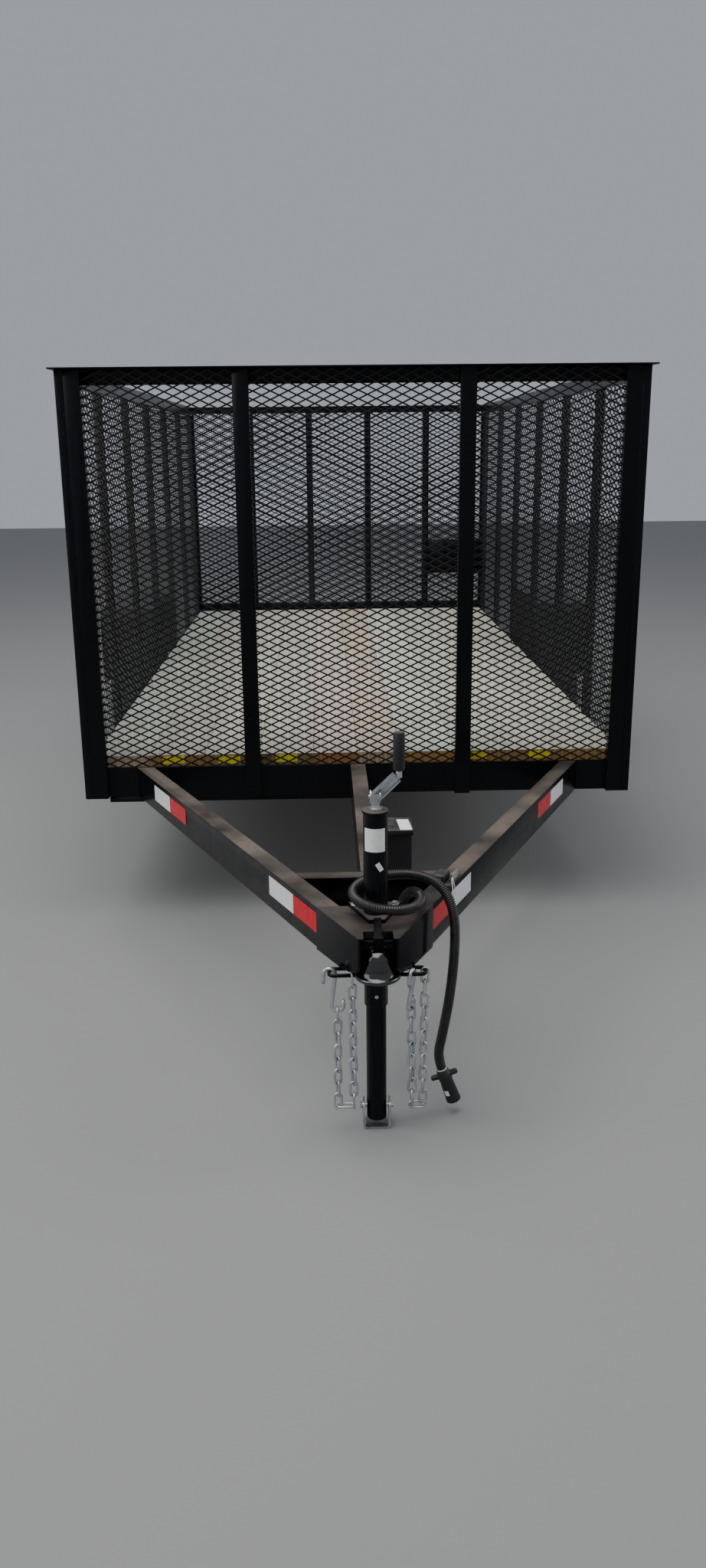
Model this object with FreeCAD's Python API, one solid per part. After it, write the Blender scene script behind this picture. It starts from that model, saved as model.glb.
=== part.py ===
import FreeCAD, Part
import math
import os

# A single-axle utility trailer for hauling debris: a channel frame with a plank deck, tall walls
# of expanded metal, a mesh ramp gate at the back and an A-frame tongue that rests on its jack.
# Millimetres, +Z up, ground at zero. The tongue points to -Y. While the pieces are made, Y counts
# from the front face of the front posts. At the end all move so that the origin is the middle of
# the footprint.

V = FreeCAD.Vector
UP = V(0, 0, 1)
ACROSS = V(1, 0, 0)

# Bed and walls
bed_length = 3658.0           # front posts to the rear of the frame, 12 ft
bed_width = 1828.8            # over the wall uprights, 6 ft
wall_top = 1797.0             # top of the walls above the ground
frame_bottom = 430.4          # underside of the frame channels above the ground
frame_depth = 101.6           # 4 in channel
channel_web = 5.0
channel_flange = 40.0
channel_flange_thick = 7.5
post_face = 50.8              # 2 x 1 in tube, wide face
post_depth = 25.4
tube_wall = 3.0
front_post_spacing = 702.0    # between the middles of the two inner front posts
wall_bays = 6
angle_leg = 50.8              # top rails, 2 in angle
angle_thick = 4.8

# Expanded metal
mesh_thick = 3.0
mesh_long = 436.0             # long way of a diamond, eight times the real one
mesh_short = 200.0            # short way of a diamond
mesh_strand = 24.0            # strand width at that scale
mesh_seat = 0.3               # gap between a sheet and what it is fixed to

# Deck
board_thick = 38.1
board_narrow = 149.0          # each of the two in the middle; the other eight share the rest
board_gap = 1.2
deck_side_gap = 0.7           # between the outer planks and the mesh
board_round = 3.0
deck_setback = 35.0           # the boards' front ends behind the posts' front face
deck_rear_gap = 8.0
crossmember_leg = 63.5
crossmember_thick = 4.8

# Tongue
rail_width = 50.8             # 2 x 4 in tube
rail_spread = 1456.0          # over the rails' outer edges at the header
rail_slope = 0.478            # sideways over lengthwise
rail_end = 1326.0             # rails' front ends ahead of the posts
crosspiece_rear = 1010.0      # rear face of the crosspiece ahead of the posts
crosspiece_length = 41.0
centre_rail_width = 50.8
conduit_drop = 19.0           # wiring channel that hangs under the left half of the header
conduit_width = 25.4

# Coupler and jack
ball_ahead = 1403.0           # ball socket's middle ahead of the posts
socket_radius = 25.9
socket_depth = 34.0
housing_radius = 36.5
housing_flange = 51.5
housing_flange_thick = 8.0
housing_straight = 36.0
housing_dome = 28.0
skirt_thick = 5.0
skirt_length = 191.0
skirt_front = 1441.0          # front edges of the skirts ahead of the posts
cheek_half = 32.5             # half the latch channel's width
cheek_length = 92.0
channel_length = 41.0         # how far the channel is open on top
trough_drop = 7.0             # channel's floor under the housing's shoulder
latch_width = 23.0
latch_lever_width = 17.0
latch_lever_thick = 5.0
latch_pin_radius = 5.0
jack_ahead = 1308.0
jack_tube_radius = 27.5
jack_leg_radius = 23.5
jack_leg_gap = 0.4
jack_tube_low = 318.0
jack_tube_top = 782.0
jack_plate_thick = 10.0
jack_plate_back = 58.0        # from the jack's middle to the triangular plate's rear edge
jack_plate_front = 49.0
jack_plate_half_back = 62.0
jack_plate_half_front = 18.0
jack_cap_thick = 6.0
jack_cap_lip = 3.0
jack_foot_height = 70.0
jack_foot_width = 60.0
jack_travel = 240.0           # how far the leg winds up
crank_rise = 30.0             # crank's pivot above the cap
crank_half = 12.0             # half the folded arm's width
crank_sheet = 3.0
crank_ear = 15.0              # radius of the arm's ears round the pivot
crank_pin = 4.0
crank_reach = 52.0            # grip's middle beside the jack
crank_lift = 50.0
grip_rod = 7.0
grip_radius = 13.0
grip_length = 88.0

# Safety chains
chain_wire = 6.0
chain_inner_length = 31.5
chain_inner_width = 10.4
chain_slack = 0.6
chain_gap = 0.3               # least gap between a link and what it hangs from
chain_down_links = 10         # even, so that the lowest one stands across the bottom link
chain_up_links = 8
chain_lean = 4.0              # each strand's sideways lean over its length
chain_loop_x = 108.0          # loop's outer bar from the centre line
chain_loop_ahead = 1368.0
chain_loop_depth = 36.0       # between the middles of a loop's front and back bars
chain_loop_bar = 9.0
chain_inner_x = 57.0          # the left chain's hanging strand from the centre line
hook_wire = 7.4
hook_tail = 8.0

# Running gear
axle_from_front = 2175.0
tyre_diameter = 690.0
tyre_width = 205.0
wheel_gap = 25.1              # between the wall uprights and the tyre
rim_radius = 196.0
rim_width = 150.0
axle_tube_radius = 38.0
spindle_radius = 20.0
spindle_gap = 0.1
spring_span = 640.0
spring_width = 45.0
spring_leaf = 7.0
spring_leaves = 4
spring_inset = 27.0           # spring's middle inside the side rail's web
u_bolt_wire = 6.0             # radius
u_bolt_plate = 8.0
fender_top = 832.0
fender_low = 500.0
fender_length = 850.0
fender_width = 245.0
fender_round = 60.0
fender_sheet = 3.0
fender_lip = 60.0
arch_round = 45.0

# Ramp gate
gate_tube = 38.1
gate_bottom_bar = 50.8
gate_gap = 9.0                # clear of the frame and rear uprights
gate_low = 560.0
gate_bays = 5
gate_plate_low = 785.0
gate_plate_high = 992.0
hinge_count = 3
hinge_pin_radius = 8.0
hinge_barrel_radius = 13.0
hinge_gap = 0.1
hinge_drop = 16.0             # pin below the gate's bottom edge
hinge_barrel_length = 60.0
hinge_leaf = 40.0             # hinge brackets' lower edge under the top of the frame
hinge_inset = 150.0           # outer hinges from the sides of the bed
knuckle_thick = 10.0

# Tail lights, and the boxes on the tongue
light_width = 124.0
light_height = 46.0
light_thick = 22.0
light_inset = 90.0            # light's middle from the side of the frame
light_gap = 3.0               # under the hinge brackets
battery_left = 6.0            # battery box's left side from the centre line
battery_width = 98.0
battery_length = 100.0
battery_height = 92.0
battery_ahead = 955.0         # middle of the box ahead of the posts
battery_lip = 4.0
battery_lid_height = 14.0
switch_ahead = 1085.0
switch_width = 40.0
switch_length = 76.0
switch_height = 26.0

# Wiring loom and its plug, a limp corrugated sleeve
loom_diameter = 21.0
plug_radius = 18.0
plug_length = 88.0
loom_route = [                # X, Y from the posts' front face, Z
    (64.5, -1154, 486), (76, -1180, 541), (101, -1232, 564), (107, -1305, 568), (82, -1366, 574),
    (24, -1390, 580), (-33, -1366, 586), (-57, -1308, 592), (-33, -1251, 598), (24, -1226, 603),
    (95, -1212, 600), (156, -1222, 578), (186, -1246, 520), (188, -1256, 430), (178, -1262, 310),
    (161, -1262, 200), (150, -1262, 143), (156, -1262, 110),
]

# Places that follow
half_width = bed_width / 2
frame_half = half_width - post_depth
frame_top = frame_bottom + frame_depth
deck_top = frame_top + board_thick
mesh_outer = frame_half - mesh_seat
mesh_inner = mesh_outer - mesh_thick
header_front = post_depth
front_mesh_front = header_front + mesh_seat
front_mesh_back = front_mesh_front + mesh_thick
board_wide = (mesh_inner - deck_side_gap - board_narrow) / 4
wheel_radius = tyre_diameter / 2
wheel_middle = half_width + wheel_gap + tyre_width / 2
spring_x = frame_half - spring_inset
gate_front = bed_length + gate_gap
nose_ahead = ball_ahead + housing_flange
gate_back = gate_front + gate_bottom_bar
origin_y = (gate_back - nose_ahead) / 2

os.makedirs("parts", exist_ok=True)


def block(x0, x1, y0, y1, z0, z1):
    """A box between two corners."""
    return Part.makeBox(x1 - x0, y1 - y0, z1 - z0, V(x0, y0, z0))


def rod(start, end, radius):
    """A round bar from one point to another."""
    along = end - start
    return Part.makeCylinder(radius, along.Length, start, along)


def ring(start, end, outer, inner):
    """A round tube from one point to another."""
    return rod(start, end, outer).cut(rod(start, end, inner))


def prism(points, along):
    """A flat outline pushed along a vector."""
    corners = [V(*p) for p in points]
    face = Part.Face(Part.makePolygon(corners + [corners[0]]))
    return face.extrude(along)


def mirrored(solids):
    """The same pieces on the other side of the trailer."""
    return [solid.mirror(V(0, 0, 0), ACROSS) for solid in solids]


def upright(x0, x1, y0, y1, z0, z1):
    """A hollow square or flat tube that stands on its end."""
    outer = block(x0, x1, y0, y1, z0, z1)
    inner = block(x0 + tube_wall, x1 - tube_wall, y0 + tube_wall, y1 - tube_wall, z0, z1)
    return outer.cut(inner)


def save(node, solids):
    """Write one node, moved to the trailer's own origin."""
    shape = Part.makeCompound(solids) if len(solids) > 1 else solids[0].copy()
    shape.translate(V(0, -origin_y, 0))
    shape.exportStep("parts/" + node + ".step")
    print(node, "solids", len(shape.Solids), "valid", shape.isValid())


def channel_profile(flip):
    """Outline of a channel with its web at zero and its flanges to +1 or -1."""
    low, high = frame_bottom, frame_top
    thick = channel_flange_thick
    return [(0, low), (flip * channel_flange, low), (flip * channel_flange, low + thick),
            (flip * channel_web, low + thick), (flip * channel_web, high - thick),
            (flip * channel_flange, high - thick), (flip * channel_flange, high), (0, high)]


def cross_channel(web_y, flip, x0, x1):
    """A channel that runs across the trailer, its web's outer face at web_y."""
    outline = [(x0, web_y + y, z) for y, z in channel_profile(flip)]
    return prism(outline, V(x1 - x0, 0, 0))


def side_channel(web_x, flip, y0, y1):
    """A channel that runs along the trailer."""
    outline = [(web_x + x, y0, z) for x, z in channel_profile(flip)]
    return prism(outline, V(0, y1 - y0, 0))


# Frame: header and sill run the full width, the side rails fit between their webs
header = cross_channel(header_front, 1, -frame_half, frame_half)
sill = cross_channel(bed_length, -1, -frame_half, frame_half)
rail_front = header_front + channel_flange
rail_back = bed_length - channel_flange
left_rail = side_channel(-frame_half, 1, rail_front, rail_back)
save("frame_header", [header])
save("frame_rear_sill", [sill])
save("frame_rail_left", [left_rail])
save("frame_rail_right", mirrored([left_rail]))

# Crossmembers: angles under the planks, one at each wall bay
crossmembers = []
cross_half = frame_half - channel_flange
for bay in range(1, wall_bays):
    y = bed_length * bay / wall_bays
    leg, thick = crossmember_leg, crossmember_thick
    outline = [(-cross_half, y, frame_top), (-cross_half, y, frame_top - leg),
               (-cross_half, y + thick, frame_top - leg), (-cross_half, y + thick, frame_top - thick),
               (-cross_half, y + leg, frame_top - thick), (-cross_half, y + leg, frame_top)]
    crossmembers.append(prism(outline, V(2 * cross_half, 0, 0)))
save("crossmembers", crossmembers)

# Wiring channel under the left half of the header
conduit = block(-frame_half + post_face, 0, header_front, header_front + conduit_width,
                frame_bottom - conduit_drop, frame_bottom)
save("header_wiring_channel", [conduit])

# Deck: ten planks side by side, the two in the middle narrower
boards = []
board_x = -(8 * board_wide + 2 * board_narrow) / 2
board_back = bed_length - deck_rear_gap
for number in range(10):
    width = board_narrow if number in (4, 5) else board_wide
    plank = block(board_x + board_gap / 2, board_x + width - board_gap / 2,
                  deck_setback, board_back, frame_top, deck_top)
    top_edges = [e for e in plank.Edges
                 if e.Length > bed_length / 2 and e.BoundBox.ZMin > deck_top - 1]
    boards.append(plank.makeChamfer(board_round, top_edges))
    board_x += width
save("deck_boards", boards)


def top_angle(length):
    """A top rail's angle along +X: upright leg at y=0 inside, flat leg towards -y at the top."""
    leg, thick = angle_leg, angle_thick
    outline = [(0, 0, wall_top), (0, 0, wall_top - leg), (0, -thick, wall_top - leg),
               (0, -thick, wall_top - thick), (0, -leg, wall_top - thick), (0, -leg, wall_top)]
    return prism(outline, V(length, 0, 0))


# Front wall: two corner posts, two posts between, the top rail and the mesh behind them
post_top = wall_top - angle_thick
front_posts = []
for x in (-frame_half + post_face / 2, -front_post_spacing / 2,
          front_post_spacing / 2, frame_half - post_face / 2):
    front_posts.append(upright(x - post_face / 2, x + post_face / 2, 0, post_depth,
                               frame_bottom, post_top))
save("front_posts", front_posts)

front_rail_half = half_width - mesh_thick
front_angle_back = front_mesh_back + angle_thick
front_angle = top_angle(2 * (half_width + angle_leg - post_depth - mesh_thick - angle_thick))
front_angle.translate(V(-front_angle.BoundBox.XMax / 2, front_angle_back, 0))
leg_cut = block(-half_width - angle_leg, -mesh_inner + angle_thick + mesh_seat,
                front_angle_back - angle_thick, front_angle_back, 0, post_top)
front_angle = front_angle.cut(leg_cut).cut(mirrored([leg_cut])[0])
save("front_top_rail", [front_angle])

# Side walls: uprights outside the frame, the mesh inside them, the top rail over both
left_uprights = []
for bay in range(wall_bays + 1):
    y = post_face / 2 + (bed_length - post_face) * bay / wall_bays
    left_uprights.append(upright(-half_width, -frame_half, y - post_face / 2, y + post_face / 2,
                                 frame_bottom, post_top))
save("left_uprights", left_uprights)
save("right_uprights", mirrored(left_uprights))

side_rail_start = front_angle_back + mesh_seat
side_angle = top_angle(bed_length - side_rail_start)
side_angle.rotate(V(0, 0, 0), UP, 90)
side_angle = side_angle.mirror(V(0, 0, 0), ACROSS)
side_angle.translate(V(-mesh_inner + angle_thick, side_rail_start, 0))
save("left_top_rail", [side_angle])
save("right_top_rail", mirrored([side_angle]))


def mesh_sheet(length, height):
    """Expanded metal in the XZ plane from the origin: rows of diamonds, each row half a step over."""
    across = max(1, round(length / mesh_long))
    rows = max(1, round(height / mesh_short))
    step_x = length / across
    step_z = height / rows
    half_x = step_x / 2 - mesh_strand * 1.2
    half_z = step_z / 2 - mesh_strand * 0.7
    holes = []
    for row in range(2 * rows - 1):
        shifted = row % 2
        for column in range(across - shifted):
            x = step_x * (column + 0.5 + 0.5 * shifted)
            z = step_z * (row + 1) / 2
            points = [V(x - half_x, 0, z), V(x, 0, z - half_z), V(x + half_x, 0, z), V(x, 0, z + half_z)]
            holes.append(Part.makePolygon(points + [points[0]]))
    corners = [V(0, 0, 0), V(length, 0, 0), V(length, 0, height), V(0, 0, height)]
    outline = Part.makePolygon(corners + [corners[0]])
    face = Part.makeFace([outline] + holes, "Part::FaceMakerBullseye")
    return face.extrude(V(0, mesh_thick, 0))


mesh_height = post_top - mesh_seat - frame_top
front_mesh = mesh_sheet(2 * mesh_inner - 2 * mesh_seat, mesh_height)
front_mesh.translate(V(-mesh_inner + mesh_seat, front_mesh_front, frame_top))
save("front_mesh", [front_mesh])

left_mesh = mesh_sheet(bed_length - front_mesh_front, mesh_height)
left_mesh.rotate(V(0, 0, 0), UP, 90)
left_mesh.translate(V(-mesh_inner, front_mesh_front, frame_top))
save("left_mesh", [left_mesh])
save("right_mesh", mirrored([left_mesh]))

# Tongue rails: straight tubes from the header to the coupler, mitred to both
rail_cos = 1 / math.sqrt(1 + rail_slope ** 2)
rail_across = rail_width / rail_cos


def rail_edge(ahead):
    """Outer edge of a tongue rail, so far ahead of the posts."""
    return rail_spread / 2 - rail_slope * ahead


def rail_outline(inset):
    """Plan of the left rail, its walls moved in by inset."""
    shift = inset / rail_cos
    return [(-rail_edge(-header_front) + shift, header_front),
            (-rail_edge(-header_front) + rail_across - shift, header_front),
            (-rail_edge(rail_end) + rail_across - shift, -rail_end),
            (-rail_edge(rail_end) + shift, -rail_end)]


left_tongue = prism([(x, y, frame_bottom) for x, y in rail_outline(0)], UP * frame_depth)
hollow = prism([(x, y, frame_bottom + tube_wall) for x, y in rail_outline(tube_wall)],
               UP * (frame_depth - 2 * tube_wall))
left_tongue = left_tongue.cut(hollow)
save("tongue_rail_left", [left_tongue])
save("tongue_rail_right", mirrored([left_tongue]))

# Crosspiece between the rails, open to the front, and the centre rail behind it
crosspiece = cross_channel(-crosspiece_rear, -1, -700, 700)
inside = prism([(-rail_edge(0) + rail_across, 0, frame_bottom),
                (rail_edge(0) - rail_across, 0, frame_bottom),
                (rail_edge(rail_end) - rail_across, -rail_end, frame_bottom),
                (-rail_edge(rail_end) + rail_across, -rail_end, frame_bottom)], UP * frame_depth)
crosspiece = crosspiece.common(inside)
save("tongue_crosspiece", [crosspiece])
centre_half = centre_rail_width / 2
centre_rail = block(-centre_half, centre_half, -crosspiece_rear, header_front, frame_bottom, frame_top)
save("tongue_centre_rail", [centre_rail])

# Coupler: a folded plate over both rails with skirts down their outer faces, two cheeks with the
# latch's channel between them, and the ball housing with its rolled flange at the front
ball = V(0, -ball_ahead, frame_bottom)
flange_top = housing_flange_thick
shoulder = flange_top + housing_straight
crown = shoulder + housing_dome
roll = housing_flange_thick / 3
housing_waist = (housing_radius + housing_flange) / 2 - roll
bend = Part.Arc(V(housing_radius, 0, shoulder), V(housing_radius * 0.74, 0, shoulder + housing_dome * 0.70),
                V(0, 0, crown))
housing_line = [Part.makeLine(V(0, 0, 0), V(housing_flange - roll, 0, 0)),
                Part.makeLine(V(housing_flange - roll, 0, 0), V(housing_flange, 0, roll)),
                Part.makeLine(V(housing_flange, 0, roll), V(housing_flange, 0, flange_top - roll)),
                Part.makeLine(V(housing_flange, 0, flange_top - roll), V(housing_flange - roll, 0, flange_top)),
                Part.makeLine(V(housing_flange - roll, 0, flange_top), V(housing_waist, 0, 1.8 * flange_top)),
                Part.makeLine(V(housing_waist, 0, 1.8 * flange_top), V(housing_radius, 0, 3.5 * flange_top)),
                Part.makeLine(V(housing_radius, 0, 3.5 * flange_top), V(housing_radius, 0, shoulder)),
                bend.toShape(), Part.makeLine(V(0, 0, crown), V(0, 0, 0))]
housing = Part.Face(Part.Wire(housing_line)).revolve(V(0, 0, 0), UP, 360)
housing.rotate(V(0, 0, 0), UP, -90)
housing.translate(ball)
skirt_back = skirt_front - skirt_length
skirt_across = skirt_thick / rail_cos
plate_low = frame_top
plate_high = frame_top + skirt_thick


def over_rails(back, front, low, high, grow):
    """A block between the rails' outer faces, moved out by grow, between two places ahead."""
    return prism([(-rail_edge(back) - grow, -back, low), (rail_edge(back) + grow, -back, low),
                  (rail_edge(front) + grow, -front, low), (-rail_edge(front) - grow, -front, low)],
                 UP * (high - low))


folded = over_rails(skirt_back, skirt_front, frame_bottom, plate_high, skirt_across)
folded = folded.cut(over_rails(skirt_back - 1, skirt_front + 1, frame_bottom - 1, plate_low, 0))
channel = block(-cheek_half, cheek_half, -skirt_front - 1, -skirt_front + channel_length,
                frame_bottom - 1, plate_high + 1)
folded = folded.cut(channel)
cheek = block(-cheek_half - skirt_thick, -cheek_half, -skirt_front, -skirt_front + cheek_length,
              frame_bottom, plate_high)
web = over_rails(skirt_front - skirt_thick, skirt_front, frame_bottom, plate_high, 0).cut(channel)
trough_top = frame_bottom + shoulder - trough_drop
trough = block(-cheek_half, cheek_half, -ball_ahead, -skirt_front + cheek_length,
               trough_top - skirt_thick, trough_top)
end_wall = block(-cheek_half, cheek_half, -skirt_front + channel_length, -skirt_front + channel_length + skirt_thick,
                 trough_top - skirt_thick, plate_low)
folded = folded.fuse([cheek, web, trough, end_wall] + mirrored([cheek]))
nose_step = housing_flange_thick / 2
under = prism([(-200, -skirt_back, frame_bottom - 20), (-200, -skirt_back, frame_bottom),
               (-200, -skirt_back - skirt_length * 0.55, frame_bottom + nose_step),
               (-200, -skirt_back - skirt_length * 0.77, frame_bottom + 2.6 * nose_step),
               (-200, -skirt_front + 14, frame_bottom + 5 * nose_step),
               (-200, -skirt_front, frame_bottom + 9 * nose_step),
               (-200, -skirt_front - 20, frame_bottom + 9 * nose_step),
               (-200, -skirt_front - 20, frame_bottom - 20)], V(400, 0, 0))
folded = folded.cut(under)
coupler = housing.fuse(folded).cut(rod(ball - UP, ball + UP * socket_depth, socket_radius))
coupler = coupler.cut(rod(V(0, -jack_ahead, 0), V(0, -jack_ahead, 1000), jack_tube_radius + 0.3))
save("coupler", [coupler.removeSplitter()])

# Latch: a head over the ball housing on a pin between the cheeks, its lever sloping back up
lever_foot = V(0, -skirt_front + 22, plate_low - 8)
latch = block(-latch_width / 2, latch_width / 2, -skirt_front + 16, -skirt_front + 34,
              frame_bottom + crown - 10, plate_low - 2)
lever_rise = 40.0
lever = prism([(-latch_lever_width / 2, lever_foot.y, lever_foot.z),
               (-latch_lever_width / 2, lever_foot.y + latch_lever_thick, lever_foot.z),
               (-latch_lever_width / 2, lever_foot.y + latch_lever_thick + 26, lever_foot.z + lever_rise),
               (-latch_lever_width / 2, lever_foot.y + 26, lever_foot.z + lever_rise)],
              V(latch_lever_width, 0, 0))
pin_z = plate_low - 14
latch = latch.fuse([lever, rod(V(-cheek_half, -skirt_front + 25, pin_z),
                               V(cheek_half, -skirt_front + 25, pin_z), latch_pin_radius)])
latch = latch.cut(housing)
save("coupler_latch", [latch.removeSplitter()])

# Jack: outer tube with its plate on the coupler, crank on top, sliding leg with a pinned foot
jack_y = -jack_ahead
tube = ring(V(0, jack_y, jack_tube_low), V(0, jack_y, jack_tube_top), jack_tube_radius,
            jack_leg_radius + jack_leg_gap)
cap_top = jack_tube_top + jack_cap_thick
cap = rod(V(0, jack_y, jack_tube_top), V(0, jack_y, cap_top), jack_tube_radius + jack_cap_lip)
plate = prism([(-jack_plate_half_front, jack_y - jack_plate_front, plate_high),
               (jack_plate_half_front, jack_y - jack_plate_front, plate_high),
               (jack_plate_half_back, jack_y + jack_plate_back, plate_high),
               (-jack_plate_half_back, jack_y + jack_plate_back, plate_high)],
              UP * jack_plate_thick)
plate = plate.cut(rod(V(0, jack_y, 0), V(0, jack_y, 1000), jack_tube_radius))
save("jack_tube", [tube.fuse([cap, plate]).removeSplitter()])

# Crank: the spindle's flat head between the ears of a folded arm, which leans out to the grip
crank_z = cap_top + crank_rise
pivot = V(0, jack_y, crank_z)
ear_in = crank_half - crank_sheet
head = block(-ear_in, ear_in, jack_y - 8, jack_y + 8, cap_top, crank_z + 8)
collar = rod(V(0, jack_y, cap_top), V(0, jack_y, cap_top + 5), crank_ear)
crank = [collar, rod(pivot - ACROSS * (crank_half + 3), pivot + ACROSS * (crank_half + 3), crank_pin)]
for side in (-1, 1):
    crank.append(rod(pivot + ACROSS * (side * ear_in), pivot + ACROSS * (side * crank_half), crank_ear))
arm_end = V(crank_reach, jack_y, crank_z + crank_lift)
arm_along = arm_end - pivot
arm_side = V(-arm_along.z, 0, arm_along.x).normalize()
fold_depth = crank_ear - crank_sheet
section = [(-crank_half, crank_sheet * 2), (crank_half, crank_sheet * 2), (crank_half, -fold_depth),
           (ear_in, -fold_depth), (ear_in, crank_sheet), (-ear_in, crank_sheet), (-ear_in, -fold_depth),
           (-crank_half, -fold_depth)]
crank.append(prism([pivot + arm_side * a + V(0, b, 0) for a, b in section], arm_along * 0.9))
crank.append(rod(arm_end - UP * grip_rod, arm_end + UP * 8, grip_rod))
save("jack_crank", [head.fuse(crank).removeSplitter()])
save("jack_grip", [rod(arm_end + UP * 8, arm_end + UP * (8 + grip_length), grip_radius)])

leg_top = jack_tube_top - jack_travel - 6
leg = ring(V(0, jack_y, jack_foot_height - 30), V(0, jack_y, leg_top), jack_leg_radius,
           jack_leg_radius - 4)
save("jack_leg", [leg])
foot_half = jack_foot_width / 2
foot = block(-foot_half, foot_half, jack_y - foot_half, jack_y + foot_half, 0, jack_foot_height)
foot = foot.cut(block(-foot_half + 5, foot_half - 5, jack_y - foot_half - 1, jack_y + foot_half + 1,
                      5, jack_foot_height + 1))
foot = foot.fuse(rod(V(-foot_half - 6, jack_y, 55), V(foot_half + 6, jack_y, 55), 6.0))
leg_space = rod(V(0, jack_y, jack_foot_height - 31), V(0, jack_y, jack_foot_height + 1), jack_leg_radius)
foot = foot.cut(leg_space)
foot_pins = [s for s in foot.Solids]
save("jack_foot", foot_pins)

# Safety chain loops under the coupler, and a chain from each that hangs in a fold
loops = []
for side in (-1, 1):
    x_in = side * 34
    x_out = side * chain_loop_x
    front = -chain_loop_ahead - chain_loop_depth / 2
    back = -chain_loop_ahead + chain_loop_depth / 2
    z = frame_bottom - chain_loop_bar / 2
    loops.append(rod(V(x_in, front, z), V(x_out, front, z), chain_loop_bar / 2))
    loops.append(rod(V(x_in, back, z), V(x_out, back, z), chain_loop_bar / 2))
    loops.append(rod(V(x_out, front, z), V(x_out, back, z), chain_loop_bar / 2))
left_loop = loops[0].fuse(loops[1:3])
right_loop = loops[3].fuse(loops[4:6])
save("chain_loops", [left_loop, right_loop])


def chain_link(centre, along, sideways):
    """A link as a flat ring with six-sided ends, lying in the plane of along and sideways."""
    along = V(along).normalize()
    normal = along.cross(sideways).normalize()
    sideways = normal.cross(along).normalize()
    straight = (chain_inner_length - chain_inner_width) / 2
    rings = []
    for grow in (chain_wire, 0.0):
        half = chain_inner_width / 2 / math.cos(math.radians(30)) + grow
        points = []
        for end in (1, -1):
            for angle in (-90, -30, 30, 90):
                turn = math.radians(angle)
                points.append(centre + along * (end * (straight + half * math.cos(turn)))
                              + sideways * (end * half * math.sin(turn)))
        rings.append(Part.makePolygon(points + [points[0]]))
    face = Part.makeFace(rings, "Part::FaceMakerBullseye")
    face.translate(normal * (-chain_wire / 2))
    return face.extrude(normal * chain_wire)


pitch = chain_inner_length - chain_slack
inner_half = chain_inner_length / 2
bar_z = frame_bottom - chain_loop_bar / 2
FLAT, CROSSWISE = ACROSS, V(0, 1, 0)


def strand(start, along, count, planes):
    """Links in line from the first one's inner end, each a quarter turn from the one before."""
    along = V(along).normalize()
    links = [chain_link(start + along * (inner_half + number * pitch), along, planes[number % 2])
             for number in range(count)]
    return links, start + along * (chain_inner_length + (count - 1) * pitch)


def bent_rod(line, radius):
    """An eight-sided wire along straight runs with mitred bends, its first run along Z."""
    sides = [V(radius * math.cos(turn), radius * math.sin(turn), 0)
             for turn in (math.radians(22.5 + 45 * step) for step in range(8))]
    end = Part.makePolygon([line[0] + side for side in sides + sides[:1]])
    return Part.makePolygon(line).makePipeShell([end], True, False, 1)


def s_hook(over, under, across):
    """A bent wire over one bar, straight down, and under another that lies across from it."""
    size = chain_loop_depth / 4
    line = [over - across * size - UP * hook_tail]
    for middle, sign in ((over, 1), (under, -1)):
        for angle in (180, 135, 90, 45, 0):
            turn = math.radians(angle)
            line.append(middle + across * (size * math.cos(turn)) + UP * (sign * size * math.sin(turn)))
    line.append(under + across * size + UP * hook_tail)
    return bent_rod(line, hook_wire / 2)


# Right chain: from the loop's outer bar down, a link across the bottom, and up to a hook that
# hangs on the loop's front bar
top_z = bar_z + chain_loop_bar / 2 + chain_gap
strand_length = chain_down_links * pitch
top = V(chain_loop_x, -chain_loop_ahead, top_z)
links, low = strand(top, V(-chain_lean, 0, -strand_length), chain_down_links, (FLAT, CROSSWISE))
fold = chain_inner_length - chain_wire - 2 * chain_gap - 0.4
links.append(chain_link(low - V(fold / 2, 0, chain_wire / 2), ACROSS, UP))
more, high = strand(low - V(fold, 0, 0), V(-chain_lean, 0, strand_length), chain_up_links, (CROSSWISE, FLAT))
save("chain_right", links + more)
last_z = high.z + chain_wire / 2
front_bar = -chain_loop_ahead - chain_loop_depth / 2
right_hook = s_hook(V(high.x, front_bar, bar_z), V(high.x, -chain_loop_ahead, last_z), CROSSWISE)

# Left chain: from the loop's front bar down, a link that lies flat across the bottom, and up to
# a hook that hangs on the loop's outer bar
hook_x = -chain_loop_x + chain_loop_depth / 2
wide_fold = chain_inner_length + chain_wire - chain_slack
top = V(-chain_inner_x, front_bar, top_z)
shift = (hook_x + wide_fold - top.x) / 2
half_depth = chain_loop_depth / 4
links, low = strand(top, V(shift, half_depth, -strand_length), chain_down_links, (CROSSWISE, FLAT))
links.append(chain_link(low - V(wide_fold / 2, 0, -chain_wire / 2 - chain_gap), ACROSS, CROSSWISE))
more, high = strand(low - V(wide_fold, 0, 0), V(shift * 0.8, half_depth * 0.8, strand_length * 0.8),
                    chain_up_links, (FLAT, CROSSWISE))
save("chain_left", links + more)
last_z = high.z + chain_wire / 2
left_hook = s_hook(V(-chain_loop_x, high.y, bar_z), V(high.x, high.y, last_z), ACROSS)
save("chain_hooks", [left_hook, right_hook])

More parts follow.
